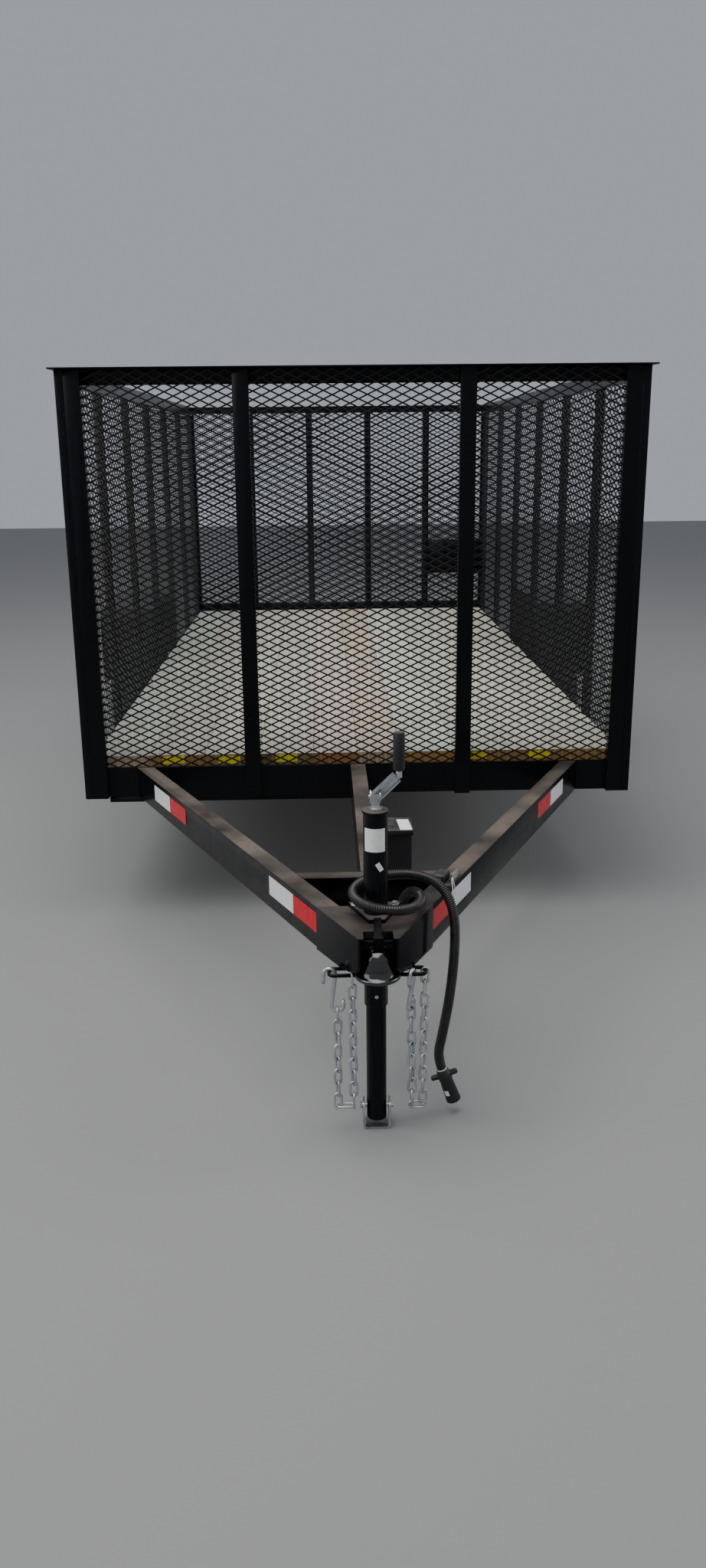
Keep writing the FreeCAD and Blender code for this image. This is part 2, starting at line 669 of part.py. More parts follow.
# Battery box beside the centre rail and breakaway switch on the right rail
battery_right = battery_left + battery_width
battery_front = -battery_ahead - battery_length / 2
battery_back = -battery_ahead + battery_length / 2
lid_z = frame_top + battery_height
battery = block(battery_left, battery_right, battery_front, battery_back, frame_top, lid_z)
battery_lid = block(battery_left - battery_lip, battery_right + battery_lip, battery_front - battery_lip,
                    battery_back + battery_lip, lid_z, lid_z + battery_lid_height)
save("battery_box", [battery.fuse(battery_lid)])
switch = block(-switch_width / 2, switch_width / 2, -switch_length / 2, switch_length / 2,
               frame_top, frame_top + switch_height)
switch.rotate(V(0, 0, 0), UP, math.degrees(math.atan(rail_slope)))
switch.translate(V(rail_edge(switch_ahead) - rail_across / 2, -switch_ahead, 0))
save("breakaway_switch", [switch])

# Axle: a tube with spindles, spring seats and brake plates, and a leaf spring under each end
axle_z = wheel_radius
axle_y = axle_from_front
tube_end = wheel_middle - 105
axle = rod(V(-tube_end, axle_y, axle_z), V(tube_end, axle_y, axle_z), axle_tube_radius)
axle = axle.fuse(rod(V(-wheel_middle - 20, axle_y, axle_z), V(wheel_middle + 20, axle_y, axle_z),
                     spindle_radius))
for side in (-1, 1):
    plate_x = side * (wheel_middle - 112)
    axle = axle.fuse(rod(V(plate_x - 3, axle_y, axle_z), V(plate_x + 3, axle_y, axle_z), 140))
save("axle", [axle.removeSplitter()])


def u_bolt(x, foot_z):
    """A threaded bar bent over the axle tube, its two ends down at foot_z."""
    reach = (axle_tube_radius + u_bolt_wire + 0.5) / math.cos(math.radians(15))
    line = [V(x, axle_y - reach, foot_z)]
    for step in range(7):
        turn = math.radians(180 - 30 * step)
        line.append(V(x, axle_y + reach * math.cos(turn), axle_z + reach * math.sin(turn)))
    line.append(V(x, axle_y + reach, foot_z))
    return bent_rod(line, u_bolt_wire)


def leaf_spring(x):
    """A pack of leaves in one arc, its eyes at the hangers, the axle seated on its middle."""
    eye_z = axle_z + 12
    sag = 64.0
    radius = ((spring_span / 2) ** 2 + sag ** 2) / (2 * sag)
    centre_z = eye_z - sag + radius
    solids = []
    for leaf in range(spring_leaves):
        inner = radius + leaf * spring_leaf
        half_angle = math.asin(spring_span / 2 / radius) * (1 - 0.18 * leaf)
        arcs = []
        for r, sign in ((inner, 1), (inner + spring_leaf, -1)):
            ends = [V(x, axle_y + r * math.sin(a), centre_z - r * math.cos(a))
                    for a in (-half_angle * sign, 0, half_angle * sign)]
            arcs.append(Part.Arc(*ends).toShape())
        sides = [Part.makeLine(arcs[0].Vertexes[-1].Point, arcs[1].Vertexes[0].Point),
                 Part.makeLine(arcs[1].Vertexes[-1].Point, arcs[0].Vertexes[0].Point)]
        wire = Part.Wire([arcs[0], sides[0], arcs[1], sides[1]])
        solids.append(Part.Face(wire).extrude(V(spring_width, 0, 0)))
    pack = solids[0].fuse(solids[1:])
    for end in (-1, 1):
        eye = V(x, axle_y + end * spring_span / 2, eye_z)
        pack = pack.fuse(rod(eye, eye + ACROSS * spring_width, 16))
    low = eye_z - sag
    pack = pack.fuse(block(x, x + spring_width, axle_y - 35, axle_y + 35, low - 1, axle_z - axle_tube_radius))
    pack = pack.cut(rod(V(-tube_end, axle_y, axle_z), V(tube_end, axle_y, axle_z), axle_tube_radius + 0.3))
    for end in (-1, 1):
        y = axle_y + end * spring_span / 2
        hanger = block(x - 6, x + spring_width + 6, y - 28, y + 28, eye_z - 20, frame_bottom)
        hanger = hanger.cut(block(x, x + spring_width, y - 29, y + 29, eye_z - 21, frame_bottom - 6))
        hanger = hanger.fuse(rod(V(x - 9, y, eye_z), V(x + spring_width + 9, y, eye_z), 8))
        pack = pack.fuse(hanger)
    pack_low = low - spring_leaves * spring_leaf
    bolt_gap = u_bolt_wire + 1
    tie_plate = block(x - 2 * bolt_gap, x + spring_width + 2 * bolt_gap, axle_y - 1.6 * axle_tube_radius,
                      axle_y + 1.6 * axle_tube_radius, pack_low - u_bolt_plate, pack_low + 1)
    bolts = [u_bolt(bolt_x, pack_low - u_bolt_plate - 2 * u_bolt_wire)
             for bolt_x in (x - bolt_gap, x + spring_width + bolt_gap)]
    return pack.fuse([tie_plate] + bolts).removeSplitter()


left_spring = leaf_spring(-spring_x - spring_width / 2)
save("spring_left", [left_spring])
save("spring_right", mirrored([left_spring]))


def fender_outline(inset, corner, low):
    """Side view of a flat-topped fender, moved in by inset, its corners rounded, down to low."""
    y0 = axle_y - fender_length / 2 + inset
    y1 = axle_y + fender_length / 2 - inset
    top = fender_top - inset
    bend = corner * (1 - math.cos(math.radians(45)))
    arc_front = Part.Arc(V(0, y0, top - corner), V(0, y0 + bend, top - bend), V(0, y0 + corner, top))
    arc_back = Part.Arc(V(0, y1 - corner, top), V(0, y1 - bend, top - bend), V(0, y1, top - corner))
    edges = [Part.makeLine(V(0, y0, low), V(0, y0, top - corner)), arc_front.toShape(),
             Part.makeLine(V(0, y0 + corner, top), V(0, y1 - corner, top)), arc_back.toShape(),
             Part.makeLine(V(0, y1, top - corner), V(0, y1, low)),
             Part.makeLine(V(0, y1, low), V(0, y0, low))]
    return Part.Face(Part.Wire(edges))


# Fenders: a bent sheet over each wheel with a lip down its outer edge, fixed to the uprights
outer_x = -half_width - fender_width
shell = fender_outline(0, fender_round, fender_low).extrude(V(fender_width, 0, 0))
shell.translate(V(outer_x, 0, 0))
room = fender_outline(fender_sheet, fender_round - fender_sheet, fender_low - 1).extrude(V(fender_width, 0, 0))
room.translate(V(outer_x + fender_sheet, 0, 0))
arch = fender_outline(fender_lip, arch_round, fender_low - 1).extrude(V(fender_sheet * 3, 0, 0))
arch.translate(V(outer_x - fender_sheet, 0, 0))
fender = shell.cut(room).cut(arch)
for end in (-1, 1):
    face = axle_y + end * (fender_length / 2 - fender_sheet)
    bracket = block(-half_width - 190, -frame_half, min(face, face - end * 30), max(face, face - end * 30),
                    fender_low + 2, fender_low + 8)
    fender = fender.fuse(bracket)
save("fender_left", [fender])
save("fender_right", mirrored([fender]))

# Tail lights on the ends of the rear sill
lights = []
light_top = frame_top - hinge_leaf - light_gap
for side in (-1, 1):
    x = side * (frame_half - light_inset)
    lights.append(block(x - light_width / 2, x + light_width / 2, bed_length, bed_length + light_thick,
                        light_top - light_height, light_top))
save("tail_lights", lights)

# Wheels: a tyre on a pressed steel rim, with the brake drum and hub behind the disc


def turned(points, x, y, z):
    """A profile of (across, radius) pairs spun about an axle along X."""
    corners = [V(x + a, y, z + r) for a, r in points]
    face = Part.Face(Part.makePolygon(corners + [corners[0]]))
    return face.revolve(V(x, y, z), ACROSS, 360)


half_tyre = tyre_width / 2
for name, side in (("left", -1), ("right", 1)):
    x = side * wheel_middle
    tread = wheel_radius
    tyre_profile = [(-0.74 * half_tyre, rim_radius), (-half_tyre * 0.93, rim_radius + 40),
                    (-half_tyre, rim_radius + 80), (-0.94 * half_tyre, tread - 28),
                    (-0.80 * half_tyre, tread - 5), (-0.5 * half_tyre, tread), (0.5 * half_tyre, tread),
                    (0.80 * half_tyre, tread - 5), (0.94 * half_tyre, tread - 28),
                    (half_tyre, rim_radius + 80), (half_tyre * 0.93, rim_radius + 40),
                    (0.74 * half_tyre, rim_radius)]
    save("tyre_" + name, [turned(tyre_profile, x, axle_y, axle_z)])
    half_rim = rim_width / 2
    seat_r = rim_radius - 0.3
    disc = side * 22
    rim_profile = [(-half_rim, seat_r), (-half_rim, seat_r - 14), (-half_rim + 18, seat_r - 22),
                   (disc - 6, seat_r - 40), (disc - 6, 60), (disc + 6, 60), (disc + 6, seat_r - 40),
                   (half_rim - 18, seat_r - 22), (half_rim, seat_r - 14), (half_rim, seat_r)]
    rim = turned(rim_profile, x, axle_y, axle_z)
    for hole in range(8):
        angle = math.radians(hole * 45 + 22.5)
        spot = V(x + disc - 10, axle_y + 118 * math.cos(angle), axle_z + 118 * math.sin(angle))
        rim = rim.cut(rod(spot, spot + V(20, 0, 0), 17))
    save("rim_" + name, [rim])
    face_x = disc - side * 6
    hub = rod(V(x + face_x, axle_y, axle_z), V(x + face_x - side * 90, axle_y, axle_z), 138)
    hub = hub.cut(rod(V(x + face_x - side * 8, axle_y, axle_z), V(x + face_x - side * 91, axle_y, axle_z), 130))
    hub = hub.fuse(rod(V(x + face_x - side * 60, axle_y, axle_z), V(x + face_x + side * 50, axle_y, axle_z), 42))
    hub = hub.cut(rod(V(x + face_x - side * 61, axle_y, axle_z), V(x + side * 22, axle_y, axle_z),
                      spindle_radius + spindle_gap))
    save("hub_" + name, [hub])

# Ramp gate: a welded frame with bars, mesh on its inner face, a blank plate, and hinge knuckles
gate_half = half_width
gate_top = wall_top
gate_bars = []
for bay in range(gate_bays + 1):
    x = -gate_half + gate_tube / 2 + (2 * gate_half - gate_tube) * bay / gate_bays
    gate_bars.append(block(x - gate_tube / 2, x + gate_tube / 2, gate_front, gate_front + gate_tube,
                           gate_low, gate_top))
gate = gate_bars[0].fuse(gate_bars[1:])
gate = gate.fuse(block(-gate_half, gate_half, gate_front, gate_front + gate_tube, gate_top - gate_tube, gate_top))
gate = gate.fuse(block(-gate_half, gate_half, gate_front, gate_front + gate_bottom_bar, gate_low,
                       gate_low + gate_bottom_bar))
pin_y = gate_front + gate_bottom_bar / 2
pin_z = gate_low - hinge_drop
hinge_half = hinge_barrel_length / 2
barrels = []
for number in range(hinge_count):
    x = (number - (hinge_count - 1) / 2) * (bed_width - 2 * hinge_inset) / (hinge_count - 1)
    for end in (-1, 1):
        x0 = x + end * (hinge_half + 2)
        x1 = x0 + end * knuckle_thick
        knuckle = block(min(x0, x1), max(x0, x1), pin_y - 13, pin_y + 13, pin_z, gate_low)
        gate = gate.fuse(knuckle).fuse(rod(V(x0, pin_y, pin_z), V(x1, pin_y, pin_z), 13))
    gate = gate.fuse(rod(V(x - hinge_half - 4, pin_y, pin_z), V(x + hinge_half + 4, pin_y, pin_z), hinge_pin_radius))
    barrel = rod(V(x - hinge_half, pin_y, pin_z), V(x + hinge_half, pin_y, pin_z), hinge_barrel_radius)
    bracket = block(x - hinge_half, x + hinge_half, bed_length, pin_y, pin_z - 13, pin_z - 5)
    bracket = bracket.fuse(block(x - hinge_half, x + hinge_half, bed_length, bed_length + 8,
                                 frame_top - hinge_leaf, pin_z - 5))
    barrel = barrel.fuse(bracket)
    barrels.append(barrel.cut(rod(V(x - hinge_half - 1, pin_y, pin_z), V(x + hinge_half + 1, pin_y, pin_z),
                                  hinge_pin_radius + hinge_gap)))
save("gate_frame", [gate.removeSplitter()])
save("gate_hinge_barrels", barrels)

gate_mesh = mesh_sheet(2 * gate_half, gate_top - gate_low)
gate_mesh.translate(V(-gate_half, gate_front - mesh_thick, gate_low))
save("gate_mesh", [gate_mesh])
plate_x0 = gate_half - gate_tube - (2 * gate_half - gate_tube) / gate_bays
save("gate_plate", [block(plate_x0, gate_half, gate_front + gate_tube, gate_front + gate_tube + 4,
                          gate_plate_low, gate_plate_high)])


def cord_path(points, share):
    """Straight runs joined by tangent arcs, each arc as large as its shorter run allows."""
    edges = []
    radii = []
    start = points[0]
    for before, corner, after in zip(points, points[1:], points[2:]):
        back = before - corner
        ahead = after - corner
        turn = math.pi - back.getAngle(ahead)
        cut = share * min(back.Length, ahead.Length)
        radii.append(cut / math.tan(turn / 2))
        back.normalize()
        ahead.normalize()
        enter = corner + back * cut
        leave = corner + ahead * cut
        bisector = (back + ahead).normalize()
        middle = corner + bisector * (radii[-1] / math.cos(turn / 2) - radii[-1])
        edges.append(Part.LineSegment(start, enter).toShape())
        edges.append(Part.Arc(enter, middle, leave).toShape())
        start = leave
    edges.append(Part.LineSegment(start, points[-1]).toShape())
    return Part.Wire(edges), radii


# Loom: out of a clip inside the right tongue rail, round the jack, over the rail and down
route = [V(*p) for p in loom_route]
path, radii = cord_path(route, 0.45)
print("loom radii", [round(r) for r in radii], "length", round(path.Length))
heading = (route[1] - route[0]).normalize()
profile = Part.Wire(Part.makeCircle(loom_diameter / 2, route[0], heading))
loom = path.makePipeShell([profile], True, False)
section = math.pi * loom_diameter ** 2 / 4
print("loom volume over section times length", round(loom.Volume / (section * path.Length), 4))
save("harness_loom", [loom])

gland = rod(route[0] - heading * 30, route[0], loom_diameter / 2 + 4)
strap = block(route[0].x, rail_edge(-route[0].y) - rail_across + 12, route[0].y - 8, route[0].y + 8,
              route[0].z - 30, route[0].z - 10)
right_rail_space = prism([(-x, y, 0) for x, y in rail_outline(0)], UP * 1000)
gland = gland.fuse(strap).cut(right_rail_space)
save("harness_clip", [gland])

plug_axis = (route[-1] - route[-2]).normalize()
plug_end = route[-1] + plug_axis * plug_length
plug = rod(route[-1], plug_end, plug_radius)
wing = block(-34, 34, -6, 6, -7, 7)
wing.rotate(V(0, 0, 0), V(0, 1, 0), -math.degrees(math.atan2(plug_axis.x, -plug_axis.z)))
wing.translate(route[-1] + plug_axis * 16)
save("harness_plug", [plug.fuse(wing)])
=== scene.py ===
import random
from math import atan, atan2, ceil, copysign, cos, hypot, pi, radians, sin, sqrt

import bpy
from mathutils import Matrix, Vector


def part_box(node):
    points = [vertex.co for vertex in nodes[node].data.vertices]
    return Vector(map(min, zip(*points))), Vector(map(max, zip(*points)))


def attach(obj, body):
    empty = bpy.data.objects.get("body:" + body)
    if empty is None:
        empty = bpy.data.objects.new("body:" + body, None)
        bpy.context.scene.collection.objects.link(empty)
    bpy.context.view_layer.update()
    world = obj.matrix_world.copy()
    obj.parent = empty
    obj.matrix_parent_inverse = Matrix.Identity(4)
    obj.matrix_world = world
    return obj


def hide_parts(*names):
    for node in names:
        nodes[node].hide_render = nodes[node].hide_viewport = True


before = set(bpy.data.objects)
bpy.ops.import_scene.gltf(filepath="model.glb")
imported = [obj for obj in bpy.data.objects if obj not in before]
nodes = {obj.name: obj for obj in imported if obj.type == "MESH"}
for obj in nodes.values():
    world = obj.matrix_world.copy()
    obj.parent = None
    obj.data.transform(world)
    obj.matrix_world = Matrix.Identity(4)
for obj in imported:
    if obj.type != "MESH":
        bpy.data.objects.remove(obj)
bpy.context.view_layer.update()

# Floor, light and camera. The floor is a plain grey sheet at ground level, the light comes from a
# large soft sky lamp high in front and two fillers, and the camera stands where the photographer
# stood, 3.8 m ahead of the front wall with the lens at 1.56 m.
front_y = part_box("front_posts")[0][1]
bpy.ops.object.select_all(action="DESELECT")
bpy.ops.mesh.primitive_plane_add(size=40)
floor = bpy.context.object
floor.name = "floor"


def put_in_scene(name, data):
    """An object of this name that shows the data."""
    made = bpy.data.objects.new(name, data)
    bpy.context.collection.objects.link(made)
    return made


camera_pitch = radians(16.13)
camera_yaw = radians(1.358)
camera_roll = radians(-0.575)
camera_place = (-0.1069, front_y - 3.7595, 1.5566)
picture_height = 2047
focal_pixels = 1520.2
ahead = Vector((sin(camera_yaw) * cos(camera_pitch),
                cos(camera_yaw) * cos(camera_pitch), -sin(camera_pitch)))
level_right = Vector((cos(camera_yaw), -sin(camera_yaw), 0))
level_up = level_right.cross(ahead)
right = level_right * cos(camera_roll) + level_up * sin(camera_roll)
up = level_up * cos(camera_roll) - level_right * sin(camera_roll)
camera = put_in_scene("camera", bpy.data.cameras.new("camera"))
camera.data.sensor_width = 36
camera.data.lens = focal_pixels * camera.data.sensor_width / picture_height
camera.matrix_world = (Matrix.Translation(camera_place)
                       @ Matrix((right, up, -ahead)).transposed().to_4x4())
bpy.context.scene.camera = camera

lit_spot = Vector((0, 0.2, 0.8))
for name, place, size, power in (("sky_lamp", (-1.5, -2.0, 7.0), 7.0, 560),
                                 ("left_filler", (-7.0, -4.0, 4.0), 5.0, 150),
                                 ("right_filler", (6.5, -1.0, 4.5), 4.0, 130)):
    lamp = bpy.data.lights.new(name, "AREA")
    lamp.size = size
    lamp.energy = power
    holder = put_in_scene(name, lamp)
    holder.location = place
    holder.rotation_euler = (lit_spot - Vector(place)).to_track_quat("-Z", "Y").to_euler()
world = bpy.data.worlds.new("studio")
world.use_nodes = True
background = world.node_tree.nodes["Background"].inputs
background["Color"].default_value = (0.86, 0.91, 1.0, 1)
background["Strength"].default_value = 0.42
bpy.context.scene.world = world


class Value:
    """A node's output that adds, multiplies and compares like a number."""

    def __init__(self, finish, socket):
        self.finish = finish
        self.socket = socket

    def maths(self, operation, other):
        return self.finish.node("Math", {"operation": operation}, {0: self, 1: other})

    def __add__(self, other):
        return self.maths("ADD", other)

    def __mul__(self, other):
        return self.maths("MULTIPLY", other)

    __radd__ = __add__
    __rmul__ = __mul__

    def __truediv__(self, other):
        return self.maths("DIVIDE", other)

    def __gt__(self, other):
        return self.maths("GREATER_THAN", other)


class Finish:
    """One material. Its nodes come from node(), and paint() joins them to the shader."""

    def __init__(self, name, gloss=0.5, **constants):
        self.material = bpy.data.materials.new(name)
        self.material.use_nodes = True
        self.tree = self.material.node_tree
        self.shader = self.tree.nodes["Principled BSDF"]
        self.shader.inputs["Specular IOR Level"].default_value = gloss
        for socket, value in constants.items():
            self.shader.inputs[socket.replace("_", " ")].default_value = value

    def node(self, kind, settings=None, sockets=None, output=0):
        made = self.tree.nodes.new("ShaderNode" + kind)
        for name, value in (settings or {}).items():
            if name == "stops":
                stops = made.color_ramp.elements
                for number, (place, colour) in enumerate(value):
                    stop = stops[number] if number < 2 else stops.new(place)
                    stop.position = place
                    stop.color = (*colour, 1)
            elif name == "blend":
                made.color_ramp.interpolation = value
            else:
                setattr(made, name, value)
        for name, value in (sockets or {}).items():
            if isinstance(value, Value):
                self.tree.links.new(value.socket, made.inputs[name])
            else:
                made.inputs[name].default_value = value
        return Value(self, made.outputs[output])

    def place(self, scale=(1, 1, 1)):
        """Object coordinates, stretched for patterns that run along one axis."""
        where = self.node("TexCoord", output="Object")
        return self.node("Mapping", sockets={"Vector": where, "Scale": scale})

    def noise(self, size, detail=3.0, scale=(1, 1, 1)):
        """Even noise whose blotches are about size metres wide."""
        return self.node("TexNoise", sockets={
            "Vector": self.place(scale), "Scale": 1 / size, "Detail": detail})

    def band(self, value, low, high, bottom=0.0, top=1.0):
        """A value that rises from bottom to top while the given one goes from low to high."""
        return self.node("MapRange", sockets={0: value, 1: low, 2: high, 3: bottom, 4: top})

    def mix(self, factor, first, second):
        """A colour between two."""
        sides = {0: factor}
        for slot, colour in ((6, first), (7, second)):
            sides[slot] = colour if isinstance(colour, Value) else (*colour, 1)
        return self.node("Mix", {"data_type": "RGBA"}, sides, output=2)

    def facing(self, axis):
        """How far the surface faces along an axis, from -1 to 1."""
        normal = self.node("TexCoord", output="Normal")
        return self.node("SeparateXYZ", sockets={0: normal}, output=axis)

    def paint(self, colour=None, roughness=None, metallic=None, height=None, depth=0.001):
        """Join what varies over the surface to the shader."""
        for socket, value in (("Base Color", colour), ("Roughness", roughness),
                              ("Metallic", metallic)):
            if value is not None:
                self.tree.links.new(value.socket, self.shader.inputs[socket])
        if height is not None:
            bump = self.node("Bump", sockets={"Height": height, "Distance": depth, "Strength": 1.0})
            self.tree.links.new(bump.socket, self.shader.inputs["Normal"])
        return self.material

    def weather(self, size, detail, low, high, clean, soiled, rough, share=1.0, metallic=None,
                **relief):
        """Soil in patches over a clean colour; roughness and metal change along with it."""
        soil = self.band(self.noise(size, detail), low, high)
        metal = self.band(soil, 0, 1, *metallic) if metallic else None
        return self.paint(self.mix(soil * share, clean, soiled), self.band(soil, 0, 1, *rough),
                          metal, **relief)


def coat(piece, material):
    """Give an object's mesh this material alone."""
    piece.data.materials.clear()
    piece.data.materials.append(material)


coat(floor, Finish("pale_floor", Roughness=0.85, Base_Color=(0.25, 0.249, 0.245, 1)).material)

# Wiring loom. A corrugated black sleeve comes out of a clip behind the jack, goes once round it
# and hangs over the right tongue rail. Cloth tape covers its first 160 mm.
loom_route = [
    (64.5, -1154, 486), (76, -1180, 541), (101, -1232, 564), (107, -1305, 568), (82, -1366, 574),
    (24, -1390, 580), (-33, -1366, 586), (-57, -1308, 592), (-33, -1251, 598), (24, -1226, 603),
    (95, -1212, 600), (156, -1222, 578), (186, -1246, 520), (188, -1256, 430), (177, -1262, 310),
    (159, -1262, 205), (148, -1262, 150), (160, -1262, 116),
]
loom_diameter = 0.024
loom_ridge = 0.0052
loom_groove = 0.0017
tape_step = 0.006
tape_rings = 27
loom_points = [Vector((x / 1000, y / 1000 + front_y, z / 1000)) for x, y, z in loom_route]
loom_curve = bpy.data.curves.new("loom_line", "CURVE")
loom_curve.dimensions = "3D"
loom_curve.resolution_u = 24
loom_spline = loom_curve.splines.new("NURBS")
loom_spline.points.add(len(loom_points) - 1)
for spot, target in zip(loom_spline.points, loom_points):
    spot.co = (*target, 1)
loom_spline.order_u = 3
loom_spline.use_endpoint_u = True
loom_line = bpy.data.objects.new("loom_line", loom_curve)
loom_path = [v.co.copy() for v in bpy.data.meshes.new_from_object(loom_line).vertices]
bpy.data.objects.remove(loom_line)


def along_path(path, spacing):
    """Points at even steps along a path, each with the path's direction there."""
    places = []
    travelled = 0.0
    wanted = 0.0
    for a, b in zip(path, path[1:]):
        step = (b - a).length
        while step > 0 and wanted <= travelled + step + 1e-9:
            places.append((a.lerp(b, (wanted - travelled) / step), (b - a).normalized()))
            wanted += spacing
        travelled += step
    return places


def new_piece(name, vertices, faces):
    """An object with a mesh of these vertices and faces."""
    mesh = bpy.data.meshes.new(name)
    mesh.from_pydata(vertices, [], faces)
    return put_in_scene(name, mesh)


def sleeve(name, path, radii, sides=14):
    """A tube through the places of a path, one ring of each radius in turn."""
    vertices = []
    faces = []
    side = path[0][1].orthogonal().normalized()
    for number, (spot, heading) in enumerate(path):
        side = (side - heading * side.dot(heading)).normalized()
        other = heading.cross(side)
        radius = radii[number % len(radii)]
        for turn in range(sides):
            angle = 2 * pi * turn / sides
            vertices.append(spot + radius * (side * cos(angle) + other * sin(angle)))
    last = (len(path) - 1) * sides
    for ring in range(0, last, sides):
        for turn in range(sides):
            a = ring + turn
            b = ring + (turn + 1) % sides
            faces.append((a, b, b + sides, a + sides))
    faces.append(tuple(reversed(range(sides))))
    faces.append(tuple(range(last, last + sides)))
    tube = new_piece(name, vertices, faces)
    tube.data.shade_smooth()
    return tube


def fit(piece, material, body="trailer", node=None):
    """Give a piece its finish and body, and hide the CAD node that it stands for, if any."""
    coat(piece, material)
    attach(piece, body)
    if node:
        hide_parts(node)


tape_places = along_path(loom_path, tape_step)[:tape_rings]
random.seed(4)
loom_tape = sleeve("loom_tape", tape_places, [
    0.0112, *[0.0121 + random.uniform(-0.0004, 0.0004) for place in tape_places[2:]], 0.0112],
    sides=18)
cloth = Finish("cloth_tape", 0.25)
fit(loom_tape, cloth.paint(
    cloth.mix(cloth.band(cloth.noise(0.02, 4), 0.4, 0.8) * 0.3,
              (0.009, 0.009, 0.01), (0.07, 0.06, 0.05)),
    cloth.band(cloth.noise(0.01), 0.3, 0.7, 0.45, 0.65),
    height=cloth.noise(0.006, scale=(1, 1, 3)), depth=0.0008))
loom = sleeve("wiring_loom", along_path(loom_path, loom_ridge / 4), [
    loom_diameter / 2, loom_diameter / 2,
    loom_diameter / 2 - loom_groove, loom_diameter / 2 - loom_groove])
fit(loom, Finish("loom_plastic", 0.45).weather(
    0.03, 3, 0.35, 0.75, (0.006, 0.006, 0.007), (0.1, 0.085, 0.07), (0.26, 0.5), 0.12),
    node="harness_loom")

# Painted steel: black gloss with a soft bloom, dust where it faces up and a few rubbed, rusty
# spots. The tongue is dusty brown on top, the walls and the rest are cleaner. Corners are rounded
# so that they catch the light, as rolled tube and folded sheet do.


def black_paint(name, dust, wear=0.5, gloss=0.12, rough=0.2):
    """Black paint over steel, with so much dust on top and so much wear."""
    finish = Finish(name, gloss)
    cloud = finish.noise(0.22, 6)
    fine = finish.noise(0.012, 4)
    upward = finish.band(finish.facing("Z"), 0.75, 0.97)
    settled = (upward * finish.band(cloud, 0.22, 0.6) * finish.band(fine, 0.1, 0.6, 0.75, 1.0)
               * dust)
    film = finish.band(fine, 0.4, 0.9) * 0.015
    chipped = (finish.band(finish.noise(0.006, 2), 0.745, 0.77)
               * finish.band(cloud, 0.45, 0.6) * wear)
    painted = finish.mix(settled + film, (0.0028, 0.0033, 0.0046), (0.15, 0.122, 0.101))
    rusty = finish.mix(chipped, painted, (0.1, 0.045, 0.022))
    shine = finish.band(finish.noise(0.05, 5), 0.2, 0.8, rough, rough + 0.14)
    return finish.paint(rusty, shine + settled * 0.5 + chipped * 0.3,
                        height=finish.noise(0.0025, 2) * 0.4 + chipped * -1.0, depth=0.0003)


frame_paint = black_paint("black_paint", 0.12)
tongue_paint = black_paint("dusty_black_paint", 0.95)
glossy_paint = black_paint("glossy_black_paint", 0.5, gloss=0.14, rough=0.1)
polished_paint = black_paint("polished_black_paint", 0.0, wear=0.0, gloss=1.0, rough=0.08)
latch_paint = black_paint("latch_black_paint", 0.1, gloss=0.05, rough=0.35)
jack_paint = black_paint("jack_black_paint", 0.8, wear=0.3, gloss=0.14)


def mode(name, chosen=None):
    """Enter edit or object mode and there select everything or nothing, if asked to."""
    bpy.ops.object.mode_set(mode=name)
    if chosen:
        bpy.ops.mesh.select_all(action=chosen)


def smooth_by(degrees):
    """Shade the active piece smooth, apart from edges sharper than this."""
    bpy.ops.object.shade_smooth_by_angle(angle=radians(degrees))


def copied(piece, place=None):
    """A copy with a mesh of its own, which is moved to its place."""
    made = piece.copy()
    made.data = piece.data.copy()
    bpy.context.collection.objects.link(made)
    if place is not None:
        made.data.transform(place)
    return made


def select_only(*pieces):
    """Select these pieces alone and make the first one active."""
    bpy.ops.object.select_all(action="DESELECT")
    for piece in pieces:
        piece.select_set(True)
    bpy.context.view_layer.objects.active = pieces[0]


def modify(piece, kind, **settings):
    """Give a piece a modifier with these settings and apply it."""
    select_only(piece)
    made = piece.modifiers.new(kind.lower(), kind)
    for name, value in settings.items():
        setattr(made, name, value)
    bpy.ops.object.modifier_apply(modifier=made.name)


def softened(node, material, body="trailer", width=0.0016):
    """A copy of a CAD node with its corners rounded, in the node's place."""
    made = copied(nodes[node], nodes[node].matrix_world)
    made.name = node + "_rounded"
    made.parent = None
    made.matrix_world = Matrix()
    select_only(made)
    mode("EDIT", "SELECT")
    bpy.ops.mesh.remove_doubles(threshold=0.00001)
    bpy.ops.mesh.dissolve_limited(angle_limit=radians(0.5))
    mode("OBJECT")
    modify(made, "BEVEL", width=width, segments=2, limit_method="ANGLE",
           angle_limit=radians(40), harden_normals=True)
    smooth_by(32)
    fit(made, material, body, node)
    return made


for node in nodes.values():
    coat(node, frame_paint)
for node in ("tongue_rail_left", "tongue_rail_right", "tongue_crosspiece", "tongue_centre_rail"):
    softened(node, tongue_paint)
for node in ("frame_header", "frame_rear_sill", "frame_rail_left", "frame_rail_right",
             "crossmembers", "front_posts", "front_top_rail", "left_uprights", "right_uprights",
             "left_top_rail", "right_top_rail", "axle", "spring_left", "spring_right",
             "fender_left", "fender_right", "gate_hinge_barrels", "header_wiring_channel"):
    softened(node, frame_paint)
softened("coupler_latch", latch_paint, width=0.001)
softened("jack_tube", jack_paint)
coupler = softened("coupler", glossy_paint)
softened("gate_frame", frame_paint, "gate")
softened("gate_plate", frame_paint, "gate")
jack_leg = softened("jack_leg", jack_paint, "jack_foot_and_leg")
leg_end_top = 0.046
leg_drop = 0.018
for corner in jack_leg.data.vertices:
    if corner.co.z < leg_end_top:
        corner.co.z -= leg_drop

